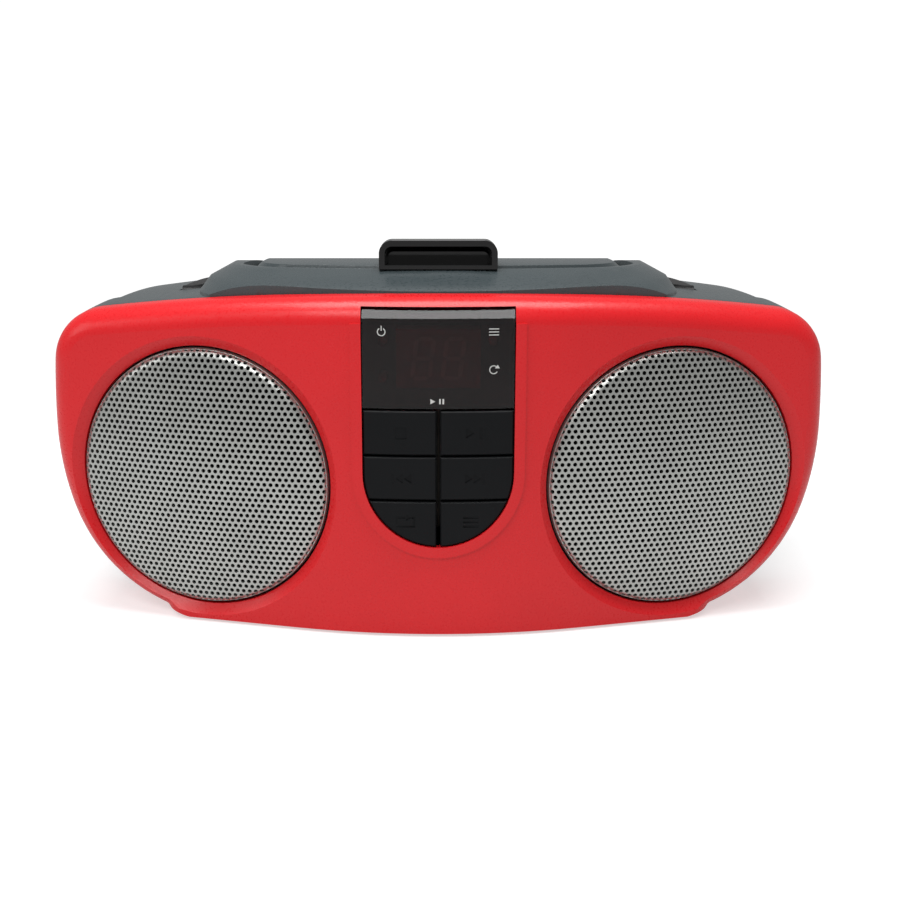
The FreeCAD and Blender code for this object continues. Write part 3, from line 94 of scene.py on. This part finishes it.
# ---------------------------------------------------------------- moulded radii, light and set
SOFT_EDGES = (("top_cover", 0.9 * MM), ("cd_lid", 0.7 * MM), ("lid_tab", 0.5 * MM))
WELD_REACH = 0.002 * MM
FLOOR_REACH = 6.0
FLOOR_NEAR = (0.3, 0.55)              # distance from the object, and the glow there
FLOOR_FAR = (1.6, 0.95)
FLOOR_BOUNCE = 0.35                   # share of the floor's glow that lights the object
ROOM_LIGHT = 0.33                     # strength of the room's light on the object
BACKDROP_WHITE = 1.05                 # strength of the backdrop as it is seen


# ================================================================ node helpers
def new_material(name):
    material = bpy.data.materials.new(name)
    material.use_nodes = True
    tree = material.node_tree
    shader = tree.nodes["Principled BSDF"]
    return material, tree, shader


def noise_node(tree, size, detail=3.0, roughness=0.55, stretch=None):
    """Noise in object space whose features are about size metres across."""
    coord = tree.nodes.new("ShaderNodeTexCoord")
    texture = tree.nodes.new("ShaderNodeTexNoise")
    texture.inputs["Scale"].default_value = 1.0 / size
    texture.inputs["Detail"].default_value = detail
    texture.inputs["Roughness"].default_value = roughness
    if stretch is None:
        tree.links.new(coord.outputs["Object"], texture.inputs["Vector"])
    else:
        mapping = tree.nodes.new("ShaderNodeMapping")
        mapping.inputs["Scale"].default_value = stretch
        tree.links.new(coord.outputs["Object"], mapping.inputs["Vector"])
        tree.links.new(mapping.outputs["Vector"], texture.inputs["Vector"])
    return texture


def remap(tree, source, low, high, start=0.3, end=0.7):
    node = tree.nodes.new("ShaderNodeMapRange")
    node.inputs["From Min"].default_value = start
    node.inputs["From Max"].default_value = end
    node.inputs["To Min"].default_value = low
    node.inputs["To Max"].default_value = high
    tree.links.new(source, node.inputs["Value"])
    return node.outputs["Result"]


def mix_colours(tree, factor, first, second):
    node = tree.nodes.new("ShaderNodeMix")
    node.data_type = "RGBA"
    tree.links.new(factor, node.inputs["Factor"])
    for socket, value in (("A_Color", first), ("B_Color", second)):
        target = next(item for item in node.inputs if item.identifier == socket)
        if isinstance(value, bpy.types.NodeSocket):
            tree.links.new(value, target)
        else:
            target.default_value = (*value, 1.0)
    return next(item for item in node.outputs if item.identifier == "Result_Color")


def bump(tree, shader, height, strength, distance):
    node = tree.nodes.new("ShaderNodeBump")
    node.inputs["Strength"].default_value = strength
    node.inputs["Distance"].default_value = distance
    tree.links.new(height, node.inputs["Height"])
    tree.links.new(node.outputs["Normal"], shader.inputs["Normal"])


def at_angle(radius, angle):
    return radius * math.cos(angle), radius * math.sin(angle)


def shade_of(colour, factor):
    return tuple(min(1.0, channel * factor) for channel in colour)


def plastic(name, colour, roughness, grain, depth, specular=0.5, variation=0.10, spread=0.06):
    """Moulded plastic: slight colour drift, uneven gloss and a fine spark-eroded grain."""
    material, tree, shader = new_material(name)
    drift = noise_node(tree, 0.03, 4.0)
    fine = noise_node(tree, grain, 2.0, 0.6)
    tone = remap(tree, drift.outputs["Fac"], 0.0, 1.0)
    dark = shade_of(colour, 1.0 - variation)
    light = shade_of(colour, 1.0 + variation)
    base = mix_colours(tree, tone, dark, light)
    tree.links.new(base, shader.inputs["Base Color"])
    gloss = remap(tree, fine.outputs["Fac"], roughness - spread, roughness + spread)
    tree.links.new(gloss, shader.inputs["Roughness"])
    shader.inputs["Specular IOR Level"].default_value = specular
    bump(tree, shader, fine.outputs["Fac"], 0.35, depth)
    return material


def metal(name, colour, roughness, grain=0.0006, depth=0.00001, stretch=None, dust=0.0):
    """Metal with an uneven polish; stretch draws the grain out along the brushed direction."""
    material, tree, shader = new_material(name)
    fine = noise_node(tree, grain, 3.0, 0.6, stretch)
    cloud = noise_node(tree, 0.02, 4.0)
    tone = remap(tree, cloud.outputs["Fac"], 0.0, 1.0)
    base = mix_colours(tree, tone, shade_of(colour, 0.88), colour)
    tree.links.new(base, shader.inputs["Base Color"])
    gloss = remap(tree, fine.outputs["Fac"], roughness * 0.75, roughness * 1.3)
    tree.links.new(gloss, shader.inputs["Roughness"])
    shader.inputs["Metallic"].default_value = 1.0 - dust
    bump(tree, shader, fine.outputs["Fac"], 0.3, depth)
    return material


def paper_cone(name):
    """Pressed paper: fibres and shallow concentric ribs."""
    material, tree, shader = new_material(name)
    fibre = noise_node(tree, 0.0008, 5.0, 0.7)
    tone = remap(tree, fibre.outputs["Fac"], 0.0, 1.0)
    base = mix_colours(tree, tone, (0.006, 0.006, 0.007), (0.02, 0.02, 0.021))
    tree.links.new(base, shader.inputs["Base Color"])
    shader.inputs["Roughness"].default_value = 0.9
    bump(tree, shader, fibre.outputs["Fac"], 0.6, 0.0002)
    return material


def woven_cloth(name):
    """Black acoustic cloth: a fine square weave."""
    material, tree, shader = new_material(name)
    coord = tree.nodes.new("ShaderNodeTexCoord")
    weave = tree.nodes.new("ShaderNodeTexChecker")
    weave.inputs["Scale"].default_value = 1800.0
    weave.inputs["Color1"].default_value = (0.0015, 0.0015, 0.0016, 1.0)
    weave.inputs["Color2"].default_value = (0.005, 0.005, 0.005, 1.0)
    tree.links.new(coord.outputs["Object"], weave.inputs["Vector"])
    tree.links.new(weave.outputs["Color"], shader.inputs["Base Color"])
    shader.inputs["Roughness"].default_value = 0.95
    shader.inputs["Specular IOR Level"].default_value = 0.1
    bump(tree, shader, weave.outputs["Fac"], 0.4, 0.00005)
    return material


def circuit_board(name):
    """Dark solder mask with slightly lighter copper tracks under it."""
    material, tree, shader = new_material(name)
    coord = tree.nodes.new("ShaderNodeTexCoord")
    tracks = tree.nodes.new("ShaderNodeTexBrick")
    tracks.inputs["Scale"].default_value = 220.0
    tracks.inputs["Mortar Size"].default_value = 0.03
    tracks.inputs["Color1"].default_value = (0.012, 0.010, 0.007, 1.0)
    tracks.inputs["Color2"].default_value = (0.016, 0.013, 0.008, 1.0)
    tracks.inputs["Mortar"].default_value = (0.05, 0.035, 0.018, 1.0)
    tree.links.new(coord.outputs["Object"], tracks.inputs["Vector"])
    tree.links.new(tracks.outputs["Color"], shader.inputs["Base Color"])
    shader.inputs["Roughness"].default_value = 0.45
    bump(tree, shader, tracks.outputs["Fac"], 0.3, 0.0001)
    return material


def smoked_lens(name):
    """Dark transparent acrylic with a hard polish and faint wiping marks."""
    material, tree, shader = new_material(name)
    smear = noise_node(tree, 0.012, 4.0, 0.6, (1.0, 1.0, 3.0))
    tone = remap(tree, smear.outputs["Fac"], 0.0, 1.0)
    base = mix_colours(tree, tone, (0.13, 0.045, 0.050), (0.16, 0.055, 0.060))
    tree.links.new(base, shader.inputs["Base Color"])
    gloss = remap(tree, smear.outputs["Fac"], 0.02, 0.06)
    tree.links.new(gloss, shader.inputs["Roughness"])
    shader.inputs["Transmission Weight"].default_value = 1.0
    shader.inputs["IOR"].default_value = 1.35
    shader.inputs["Specular IOR Level"].default_value = 0.3
    return material


def lamp_plastic(name, colour):
    """Tinted diffusing resin of an unlit lamp."""
    material, tree, shader = new_material(name)
    cloud = noise_node(tree, 0.001, 2.0)
    tone = remap(tree, cloud.outputs["Fac"], 0.0, 1.0)
    base = mix_colours(tree, tone, shade_of(colour, 0.8), colour)
    tree.links.new(base, shader.inputs["Base Color"])
    shader.inputs["Roughness"].default_value = 0.25
    shader.inputs["Subsurface Weight"].default_value = 0.3
    shader.inputs["Subsurface Radius"].default_value = (0.002, 0.001, 0.001)
    return material


def coated_lens(name):
    """Small glass lens with a blue anti-reflection bloom."""
    material, tree, shader = new_material(name)
    bloom = tree.nodes.new("ShaderNodeLayerWeight")
    bloom.inputs["Blend"].default_value = 0.4
    base = mix_colours(tree, bloom.outputs["Facing"], (0.10, 0.12, 0.45), (0.55, 0.35, 0.75))
    tree.links.new(base, shader.inputs["Base Color"])
    shader.inputs["Roughness"].default_value = 0.03
    shader.inputs["Coat Weight"].default_value = 1.0
    return material


def print_ink(name, colour):
    """Screen-printed ink with slightly uneven cover."""
    material, tree, shader = new_material(name)
    cover = noise_node(tree, 0.0004, 3.0)
    tone = remap(tree, cover.outputs["Fac"], 0.0, 1.0)
    base = mix_colours(tree, tone, shade_of(colour, 0.82), colour)
    tree.links.new(base, shader.inputs["Base Color"])
    shader.inputs["Roughness"].default_value = 0.5
    return material


RED = plastic(
    "red_satin", (0.62, 0.010, 0.014), 0.30, 0.0009, 0.000012, specular=0.35, variation=0.03)
CHARCOAL = plastic(
    "charcoal_satin", (0.040, 0.052, 0.056), 0.30, 0.0011, 0.00003, specular=0.6, variation=0.06)
BLACK = plastic("black_satin", (0.004, 0.004, 0.0045), 0.40, 0.0009, 0.00002, specular=0.2)
KEYS = plastic("key_satin", (0.0045, 0.0050, 0.0058), 0.36, 0.0007, 0.000012, specular=0.12)
GLOSS_BLACK = plastic("gloss_black", (0.003, 0.0026, 0.003), 0.07, 0.004, 0.000004, spread=0.03)
RUBBER = plastic("rubber", (0.012, 0.012, 0.012), 0.75, 0.0007, 0.00006, specular=0.3)
NYLON = plastic("nylon", (0.55, 0.54, 0.50), 0.38, 0.0012, 0.00002)
FERRITE = plastic("ferrite", (0.018, 0.018, 0.020), 0.55, 0.0005, 0.00005)
MESH_SILVER = metal("mesh_silver", (0.45, 0.46, 0.44), 0.34, 0.0004, 0.000006, dust=0.15)
STEEL = metal("bright_steel", (0.55, 0.55, 0.54), 0.32, 0.0005, 0.00001)
CHROME = metal("chrome_plate", (0.78, 0.78, 0.80), 0.09, 0.0012, 0.000004, (1.0, 18.0, 18.0))
BRASS = metal("turned_brass", (0.58, 0.42, 0.16), 0.28, 0.0005, 0.00001)
CONE = paper_cone("cone_paper")
CLOTH = woven_cloth("grille_cloth")
BOARD = circuit_board("laminate")
LENS = smoked_lens("smoked_acrylic")
LAMP = lamp_plastic("lamp_resin", (0.55, 0.05, 0.05))
GLASS = coated_lens("coated_glass")
SEGMENT = lamp_plastic("segment_resin", (0.85, 0.42, 0.36))
INK = print_ink("white_ink", (0.60, 0.60, 0.58))

SLOT_MATERIALS = {
    "red_plastic": RED,
    "charcoal_plastic": CHARCOAL,
    "black_plastic": BLACK,
    "key_plastic": KEYS,
    "gloss_black": GLOSS_BLACK,
    "smoked_lens": LENS,
    "silver_mesh": MESH_SILVER,
    "steel": STEEL,
    "chrome": CHROME,
    "ferrite": FERRITE,
    "cone_paper": CONE,
    "rubber": RUBBER,
    "board": BOARD,
    "led_red": LAMP,
    "white_plastic": NYLON,
    "lens_glass": GLASS,
    "brass": BRASS,
}


def dress_nodes():
    """Gives every CAD node the material of its slot in the record."""
    for row in frame["record"]["subparts"]:
        mesh = NODES[row["node"]].data
        mesh.materials.clear()
        mesh.materials.append(SLOT_MATERIALS[row["material_slot"]])


def soften_edges():
    """Small moulded radii on the hard edges of the deck, the lid and its tab."""
    for name, width in SOFT_EDGES:
        node = NODES[name]
        weld = node.modifiers.new("weld", "WELD")
        weld.merge_threshold = WELD_REACH
        bevel = node.modifiers.new("bevel", "BEVEL")
        bevel.width = width
        bevel.segments = 3
        bevel.limit_method = "ANGLE"
        bevel.angle_limit = math.radians(28)


# ================================================================ mesh helpers
def make_piece(name, mesh_data, material, body, smooth=True):
    piece = bpy.data.objects.new(name, mesh_data)
    bpy.context.scene.collection.objects.link(piece)
    mesh_data.materials.append(material)
    for polygon in mesh_data.polygons:
        polygon.use_smooth = smooth
    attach(piece, body)
    return piece


def bmesh_to_mesh(built, name):
    bmesh.ops.recalc_face_normals(built, faces=built.faces)
    mesh_data = bpy.data.meshes.new(name)
    built.to_mesh(mesh_data)
    built.free()
    return mesh_data


def lathe(profile, segments, place):
    """Closed ring turned from a closed profile of (radius, height) points round +Z, then placed."""
    built = bmesh.new()
    rings = []
    for step in range(segments):
        angle = 2 * math.pi * step / segments
        points = [(*at_angle(r, angle), z) for r, z in profile]
        rings.append([built.verts.new(place @ Vector(point)) for point in points])
    for step in range(segments):
        here = rings[step]
        there = rings[(step + 1) % segments]
        for i in range(len(profile)):
            j = (i + 1) % len(profile)
            built.faces.new((here[i], there[i], there[j], here[j]))
    return built


# ================================================================ grilles
def speaker_matrix(side):
    """Matrix that takes +Z to the outward normal at one speaker's centre on the front."""
    tangent_x = BOW_R * math.sin(YAW)
    tangent_y = FRONT_Y + BOW_R * (1 - math.cos(YAW))
    y = tangent_y + (SPEAKER_X - tangent_x) * math.tan(YAW)
    place = Matrix.Translation((side * SPEAKER_X, y, SPEAKER_Z))
    return place @ Matrix.Rotation(side * YAW, 4, "Z") @ Matrix.Rotation(math.pi / 2, 4, "X")


ROLL_CENTRE = GRILLE_R - ROLL_R
DOME_EDGE = ROLL_CENTRE + ROLL_R * math.sin(ROLL_START)
DOME_RADIUS = DOME_EDGE / math.sin(ROLL_START)
DOME_CENTRE = ROLL_Z + (ROLL_R - DOME_RADIUS) * math.cos(ROLL_START)
DOME_LENGTH = DOME_RADIUS * ROLL_START
SHEET_LENGTH = DOME_LENGTH + ROLL_R * (math.pi / 2 - ROLL_START)


def sheet_profile(length, depth):
    """Radius and height of the sheet at a length from its middle, depth under its outer face."""
    if length < DOME_LENGTH:
        slope = length / DOME_RADIUS
        reach = DOME_RADIUS - depth
        return reach * math.sin(slope), DOME_CENTRE + reach * math.cos(slope)
    slope = min(ROLL_START + (length - DOME_LENGTH) / ROLL_R, math.pi / 2)
    reach = ROLL_R - depth
    return ROLL_CENTRE + reach * math.sin(slope), ROLL_Z + reach * math.cos(slope)


def hole_centres():
    """Hexagonal grid of hole centres inside the perforated circle."""
    rows = int(PERFORATED_R / (HOLE_PITCH * math.sqrt(3) / 2)) + 1
    columns = int(PERFORATED_R / HOLE_PITCH) + 1
    for row in range(-rows, rows + 1):
        y = row * HOLE_PITCH * math.sqrt(3) / 2
        for column in range(-columns, columns + 1):
            x = (column + 0.5 * (row % 2)) * HOLE_PITCH
            if math.hypot(x, y) < PERFORATED_R:
                yield x, y


def perforated_sheet(place):
    """Domed sheet with a real round hole in every cell of a hexagonal grid."""
    built = bmesh.new()
    cache = {}

    def corner(x, y, inner):
        key = (round(x / MM, 3), round(y / MM, 3), inner)
        if key not in cache:
            length = math.hypot(x, y)
            r, z = sheet_profile(length, GRILLE_T if inner else 0.0)
            scale = r / length if length else 1.0
            cache[key] = built.verts.new(place @ Vector((x * scale, y * scale, z)))
        return cache[key]

    reach = HOLE_PITCH / 2
    cell = []
    for step in range(HOLE_SIDES):
        angle = 2 * math.pi * step / HOLE_SIDES
        distance = reach if step % 2 == 0 else reach / math.cos(math.pi / 6)
        cell.append(at_angle(distance, angle))
    hole = [at_angle(HOLE_R, 2 * math.pi * i / HOLE_SIDES) for i in range(HOLE_SIDES)]
    for x, y in hole_centres():
        for inner in (False, True):
            outside = [corner(x + dx, y + dy, inner) for dx, dy in cell]
            inside = [corner(x + dx, y + dy, inner) for dx, dy in hole]
            for i in range(HOLE_SIDES):
                j = (i + 1) % HOLE_SIDES
                quad = (outside[i], outside[j], inside[j], inside[i])
                built.faces.new(tuple(reversed(quad)) if inner else quad)
        top = [corner(x + dx, y + dy, False) for dx, dy in hole]
        low = [corner(x + dx, y + dy, True) for dx, dy in hole]
        for i in range(HOLE_SIDES):
            j = (i + 1) % HOLE_SIDES
            built.faces.new((top[i], top[j], low[j], low[i]))
    close_rim(built)
    return built


def close_rim(built):
    """Walls in the open outer edge between the sheet's two faces."""
    open_edges = [edge for edge in built.edges if len(edge.link_faces) == 1]
    bmesh.ops.bridge_loops(built, edges=open_edges)


def grille_rim(place):
    """Plain turned-down edge of the sheet, which covers the last, cut-off holes."""
    steps = 8
    lengths = [BAND_START + (SHEET_LENGTH - BAND_START) * i / steps for i in range(steps + 1)]
    outer = [sheet_profile(length, -0.04 * MM) for length in lengths]
    inner = [sheet_profile(length, GRILLE_T + 0.04 * MM) for length in lengths]
    outer.append((outer[-1][0], ROLL_Z - EDGE_DROP))
    inner.append((inner[-1][0], ROLL_Z - EDGE_DROP))
    return lathe(outer + inner[::-1], 200, place)


def cloth_disc(place):
    """Thin black cloth stretched behind the sheet, on the ledge of its seat."""
    sides = 96
    built = bmesh.new()
    rings = []
    for z in CLOTH_Z:
        points = [(*at_angle(CLOTH_R, 2 * math.pi * i / sides), z) for i in range(sides)]
        rings.append([built.verts.new(place @ Vector(point)) for point in points])
    built.faces.new(rings[1])
    built.faces.new(rings[0][::-1])
    for i in range(sides):
        j = (i + 1) % sides
        built.faces.new((rings[0][i], rings[0][j], rings[1][j], rings[1][i]))
    return built


def build_grilles():
    for side, name in ((-1, "left"), (1, "right")):
        place = speaker_matrix(side)
        sheet_name = "grille_sheet_" + name
        sheet_mesh = bmesh_to_mesh(perforated_sheet(place), sheet_name)
        sheet = make_piece(sheet_name, sheet_mesh, MESH_SILVER, "cabinet", False)
        rim_name = "grille_rim_" + name
        rim_mesh = bmesh_to_mesh(grille_rim(place), rim_name)
        make_piece(rim_name, rim_mesh, MESH_SILVER, "cabinet")
        cloth_name = "grille_cloth_" + name
        cloth_mesh = bmesh_to_mesh(cloth_disc(place), cloth_name)
        make_piece(cloth_name, cloth_mesh, CLOTH, "cabinet", False)
        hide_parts("grille_" + name)


# ================================================================ marks and digits
def flat_prism(built, outline, y_of, thickness):
    """Thin plate with an outline in X and Z whose front follows y_of(x), facing the front."""
    near = [built.verts.new((x, y_of(x), z)) for x, z in outline]
    far = [built.verts.new((x, y_of(x) + thickness, z)) for x, z in outline]
    built.faces.new(near)
    built.faces.new(list(reversed(far)))
    for i in range(len(outline)):
        j = (i + 1) % len(outline)
        built.faces.new((near[i], far[i], far[j], near[j]))


def rectangle(x, z, half_x, half_z):
    return [(x + u * half_x, z + v * half_z) for u, v in ((-1, -1), (1, -1), (1, 1), (-1, 1))]


def stroke_arc(built, x, z, radius, width, start, end, y_of, thickness, steps=14):
    """Curved stroke of even width between two angles in degrees."""
    points = [math.radians(start + (end - start) * i / steps) for i in range(steps + 1)]
    for a, b in zip(points, points[1:]):
        inner = radius - width / 2
        outer = radius + width / 2
        corners = [at_angle(r, t) for r, t in ((inner, a), (outer, a), (outer, b), (inner, b))]
        outline = [(x + u, z + v) for u, v in corners]
        flat_prism(built, outline, y_of, thickness)


def lens_front(x):
    """Front surface of the lens, lifted by the thickness of the ink."""
    radius = BOW_R + LENS_PROUD + MARK_LIFT
    return FRONT_Y + BOW_R - math.sqrt(radius ** 2 - x ** 2)


def build_lens_marks():
    """Generic marks beside the lamps and above the keys: power, list, loop, play and pause."""
    built = bmesh.new()
    x, z = POWER_AT
    stroke_arc(built, x, z, 1.15 * MM, MARK_STROKE, -240, 60, lens_front, MARK_T, 20)
    flat_prism(built, rectangle(x, z + 1.1 * MM, MARK_STROKE / 2, 0.75 * MM), lens_front, MARK_T)
    x, z = LIST_AT
    for row in (-0.9, 0.0, 0.9):
        flat_prism(built, rectangle(x, z + row * MM, 1.5 * MM, MARK_STROKE / 2), lens_front, MARK_T)
    x, z = LOOP_AT
    stroke_arc(built, x, z, 1.2 * MM, MARK_STROKE, 30, 330, lens_front, MARK_T, 20)
    arrow = ((0.35, 0.4), (1.85, 0.4), (1.2, 1.45))
    flat_prism(built, [(x + u * MM, z + v * MM) for u, v in arrow], lens_front, MARK_T)
    x, z = PLAY_AT
    triangle = ((-2.4, -0.8), (-0.9, 0.0), (-2.4, 0.8))
    flat_prism(built, [(x + u * MM, z + v * MM) for u, v in triangle], lens_front, MARK_T)
    for shift in (0.5, 1.5):
        flat_prism(built, rectangle(x + shift * MM, z, 0.25 * MM, 0.8 * MM), lens_front, MARK_T)
    mesh_data = bmesh_to_mesh(built, "lens_marks")
    make_piece("lens_marks", mesh_data, INK, "cabinet", False)


def segment_outline(length, width):
    """Six-sided bar lying along X, pointed at both ends."""
    half = length / 2
    tip = width / 2
    right = [(half - tip, -tip), (half, 0.0), (half - tip, tip)]
    left = [(-half + tip, tip), (-half, 0.0), (-half + tip, -tip)]
    return right + left


def build_digits():
    """Two slanted seven-segment digits moulded in the face of the display module."""
    low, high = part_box("led_display")
    front = low[1]
    middle_z = (low[2] + high[2]) / 2
    built = bmesh.new()
    for centre_x in (-DIGIT_X, DIGIT_X):
        side_x = (DIGIT_W - DIGIT_BAR) / 2
        end_z = (DIGIT_H - DIGIT_BAR) / 2
        bars = [(0.0, z, 0.0, DIGIT_W - DIGIT_BAR) for z in (-end_z, 0.0, end_z)]
        for x in (-side_x, side_x):
            for z in (-end_z / 2, end_z / 2):
                bars.append((x, z, math.pi / 2, end_z))
        for x, z, turn, length in bars:
            outline = []
            for u, v in segment_outline(length - DIGIT_GAP, DIGIT_BAR):
                px = x + u * math.cos(turn) - v * math.sin(turn)
                pz = z + u * math.sin(turn) + v * math.cos(turn)
                outline.append((centre_x + px + pz * DIGIT_SLANT, middle_z + pz))
            flat_prism(built, outline, lambda at: front - DIGIT_PROUD, DIGIT_T)
    mesh_data = bmesh_to_mesh(built, "display_digits")
    make_piece("display_digits", mesh_data, SEGMENT, "cabinet", False)


# ================================================================ set, light and camera
def build_floor():
    """Large pale floor that fades out beyond the object."""
    built = bmesh.new()
    built.faces.new([built.verts.new((x, y, 0.0)) for x, y in rectangle(0.0, 0.0, FLOOR_REACH, FLOOR_REACH)])
    mesh_data = bmesh_to_mesh(built, "floor")
    material, tree, shader = new_material("floor_paper")
    fibre = noise_node(tree, 0.004, 3.0)
    tone = remap(tree, fibre.outputs["Fac"], 0.0, 1.0)
    base = mix_colours(tree, tone, (0.54, 0.54, 0.54), (0.57, 0.57, 0.57))
    tree.links.new(base, shader.inputs["Base Color"])
    shader.inputs["Roughness"].default_value = 0.95
    shader.inputs["Specular IOR Level"].default_value = 0.0
    coord = tree.nodes.new("ShaderNodeTexCoord")
    reach_node = tree.nodes.new("ShaderNodeVectorMath")
    reach_node.operation = "LENGTH"
    tree.links.new(coord.outputs["Object"], reach_node.inputs[0])
    seen = remap(tree, reach_node.outputs["Value"], FLOOR_NEAR[1], FLOOR_FAR[1], FLOOR_NEAR[0], FLOOR_FAR[0])
    path = tree.nodes.new("ShaderNodeLightPath")
    glow = tree.nodes.new("ShaderNodeMath")
    glow.operation = "MULTIPLY"
    tree.links.new(seen, glow.inputs[0])
    share = remap(tree, path.outputs["Is Camera Ray"], FLOOR_BOUNCE, 1.0, 0.0, 1.0)
    tree.links.new(share, glow.inputs[1])
    tree.links.new(glow.outputs["Value"], shader.inputs["Emission Strength"])
    shader.inputs["Emission Color"].default_value = (1.0, 1.0, 1.0, 1.0)
    floor = bpy.data.objects.new("floor", mesh_data)
    mesh_data.materials.append(material)
    bpy.context.scene.collection.objects.link(floor)


def area_light(name, place, target, size, power, colour=(1.0, 1.0, 1.0)):
    data = bpy.data.lights.new(name, "AREA")
    data.shape = "RECTANGLE"
    data.size = size[0]
    data.size_y = size[1]
    data.energy = power
    data.color = colour
    lamp = bpy.data.objects.new(name, data)
    bpy.context.scene.collection.objects.link(lamp)
    lamp.location = place
    lamp.rotation_euler = (Vector(target) - Vector(place)).to_track_quat("-Z", "Y").to_euler()


def build_lights():
    """Pale room: the backdrop is white, and the light it gives the object is softer than it looks."""
    world = bpy.data.worlds.new("studio")
    world.use_nodes = True
    tree = world.node_tree
    background = tree.nodes["Background"]
    background.inputs["Color"].default_value = (1.0, 1.0, 1.0, 1.0)
    path = tree.nodes.new("ShaderNodeLightPath")
    strength = remap(tree, path.outputs["Is Camera Ray"], ROOM_LIGHT, BACKDROP_WHITE, 0.0, 1.0)
    tree.links.new(strength, background.inputs["Strength"])
    bpy.context.scene.world = world
    area_light("top_soft", (0.0, -0.1, 0.8), (0.0, 0.0, 0.05), (0.7, 0.35), 6.5)
    area_light("front_soft", (-0.25, -0.8, 0.85), (0.0, -0.05, 0.06), (0.7, 0.3), 4.6)
    area_light("left_soft", (-0.9, -0.4, 0.5), (0.0, 0.0, 0.06), (0.4, 0.4), 1.2)


def build_camera():
    data = bpy.data.cameras.new("camera")
    data.lens = 49.6
    data.sensor_width = 36.0
    data.shift_x = 0.013
    data.shift_y = -0.011
    camera = bpy.data.objects.new("camera", data)
    camera.location = (0.0, -0.469, 0.1495)
    camera.rotation_euler = (math.radians(76.8), 0.0, 0.0)
    bpy.context.scene.collection.objects.link(camera)
    bpy.context.scene.camera = camera


dress_nodes()
soften_edges()
build_grilles()
build_lens_marks()
build_digits()
build_floor()
build_lights()
build_camera()
bpy.context.scene.view_settings.view_transform = "Standard"
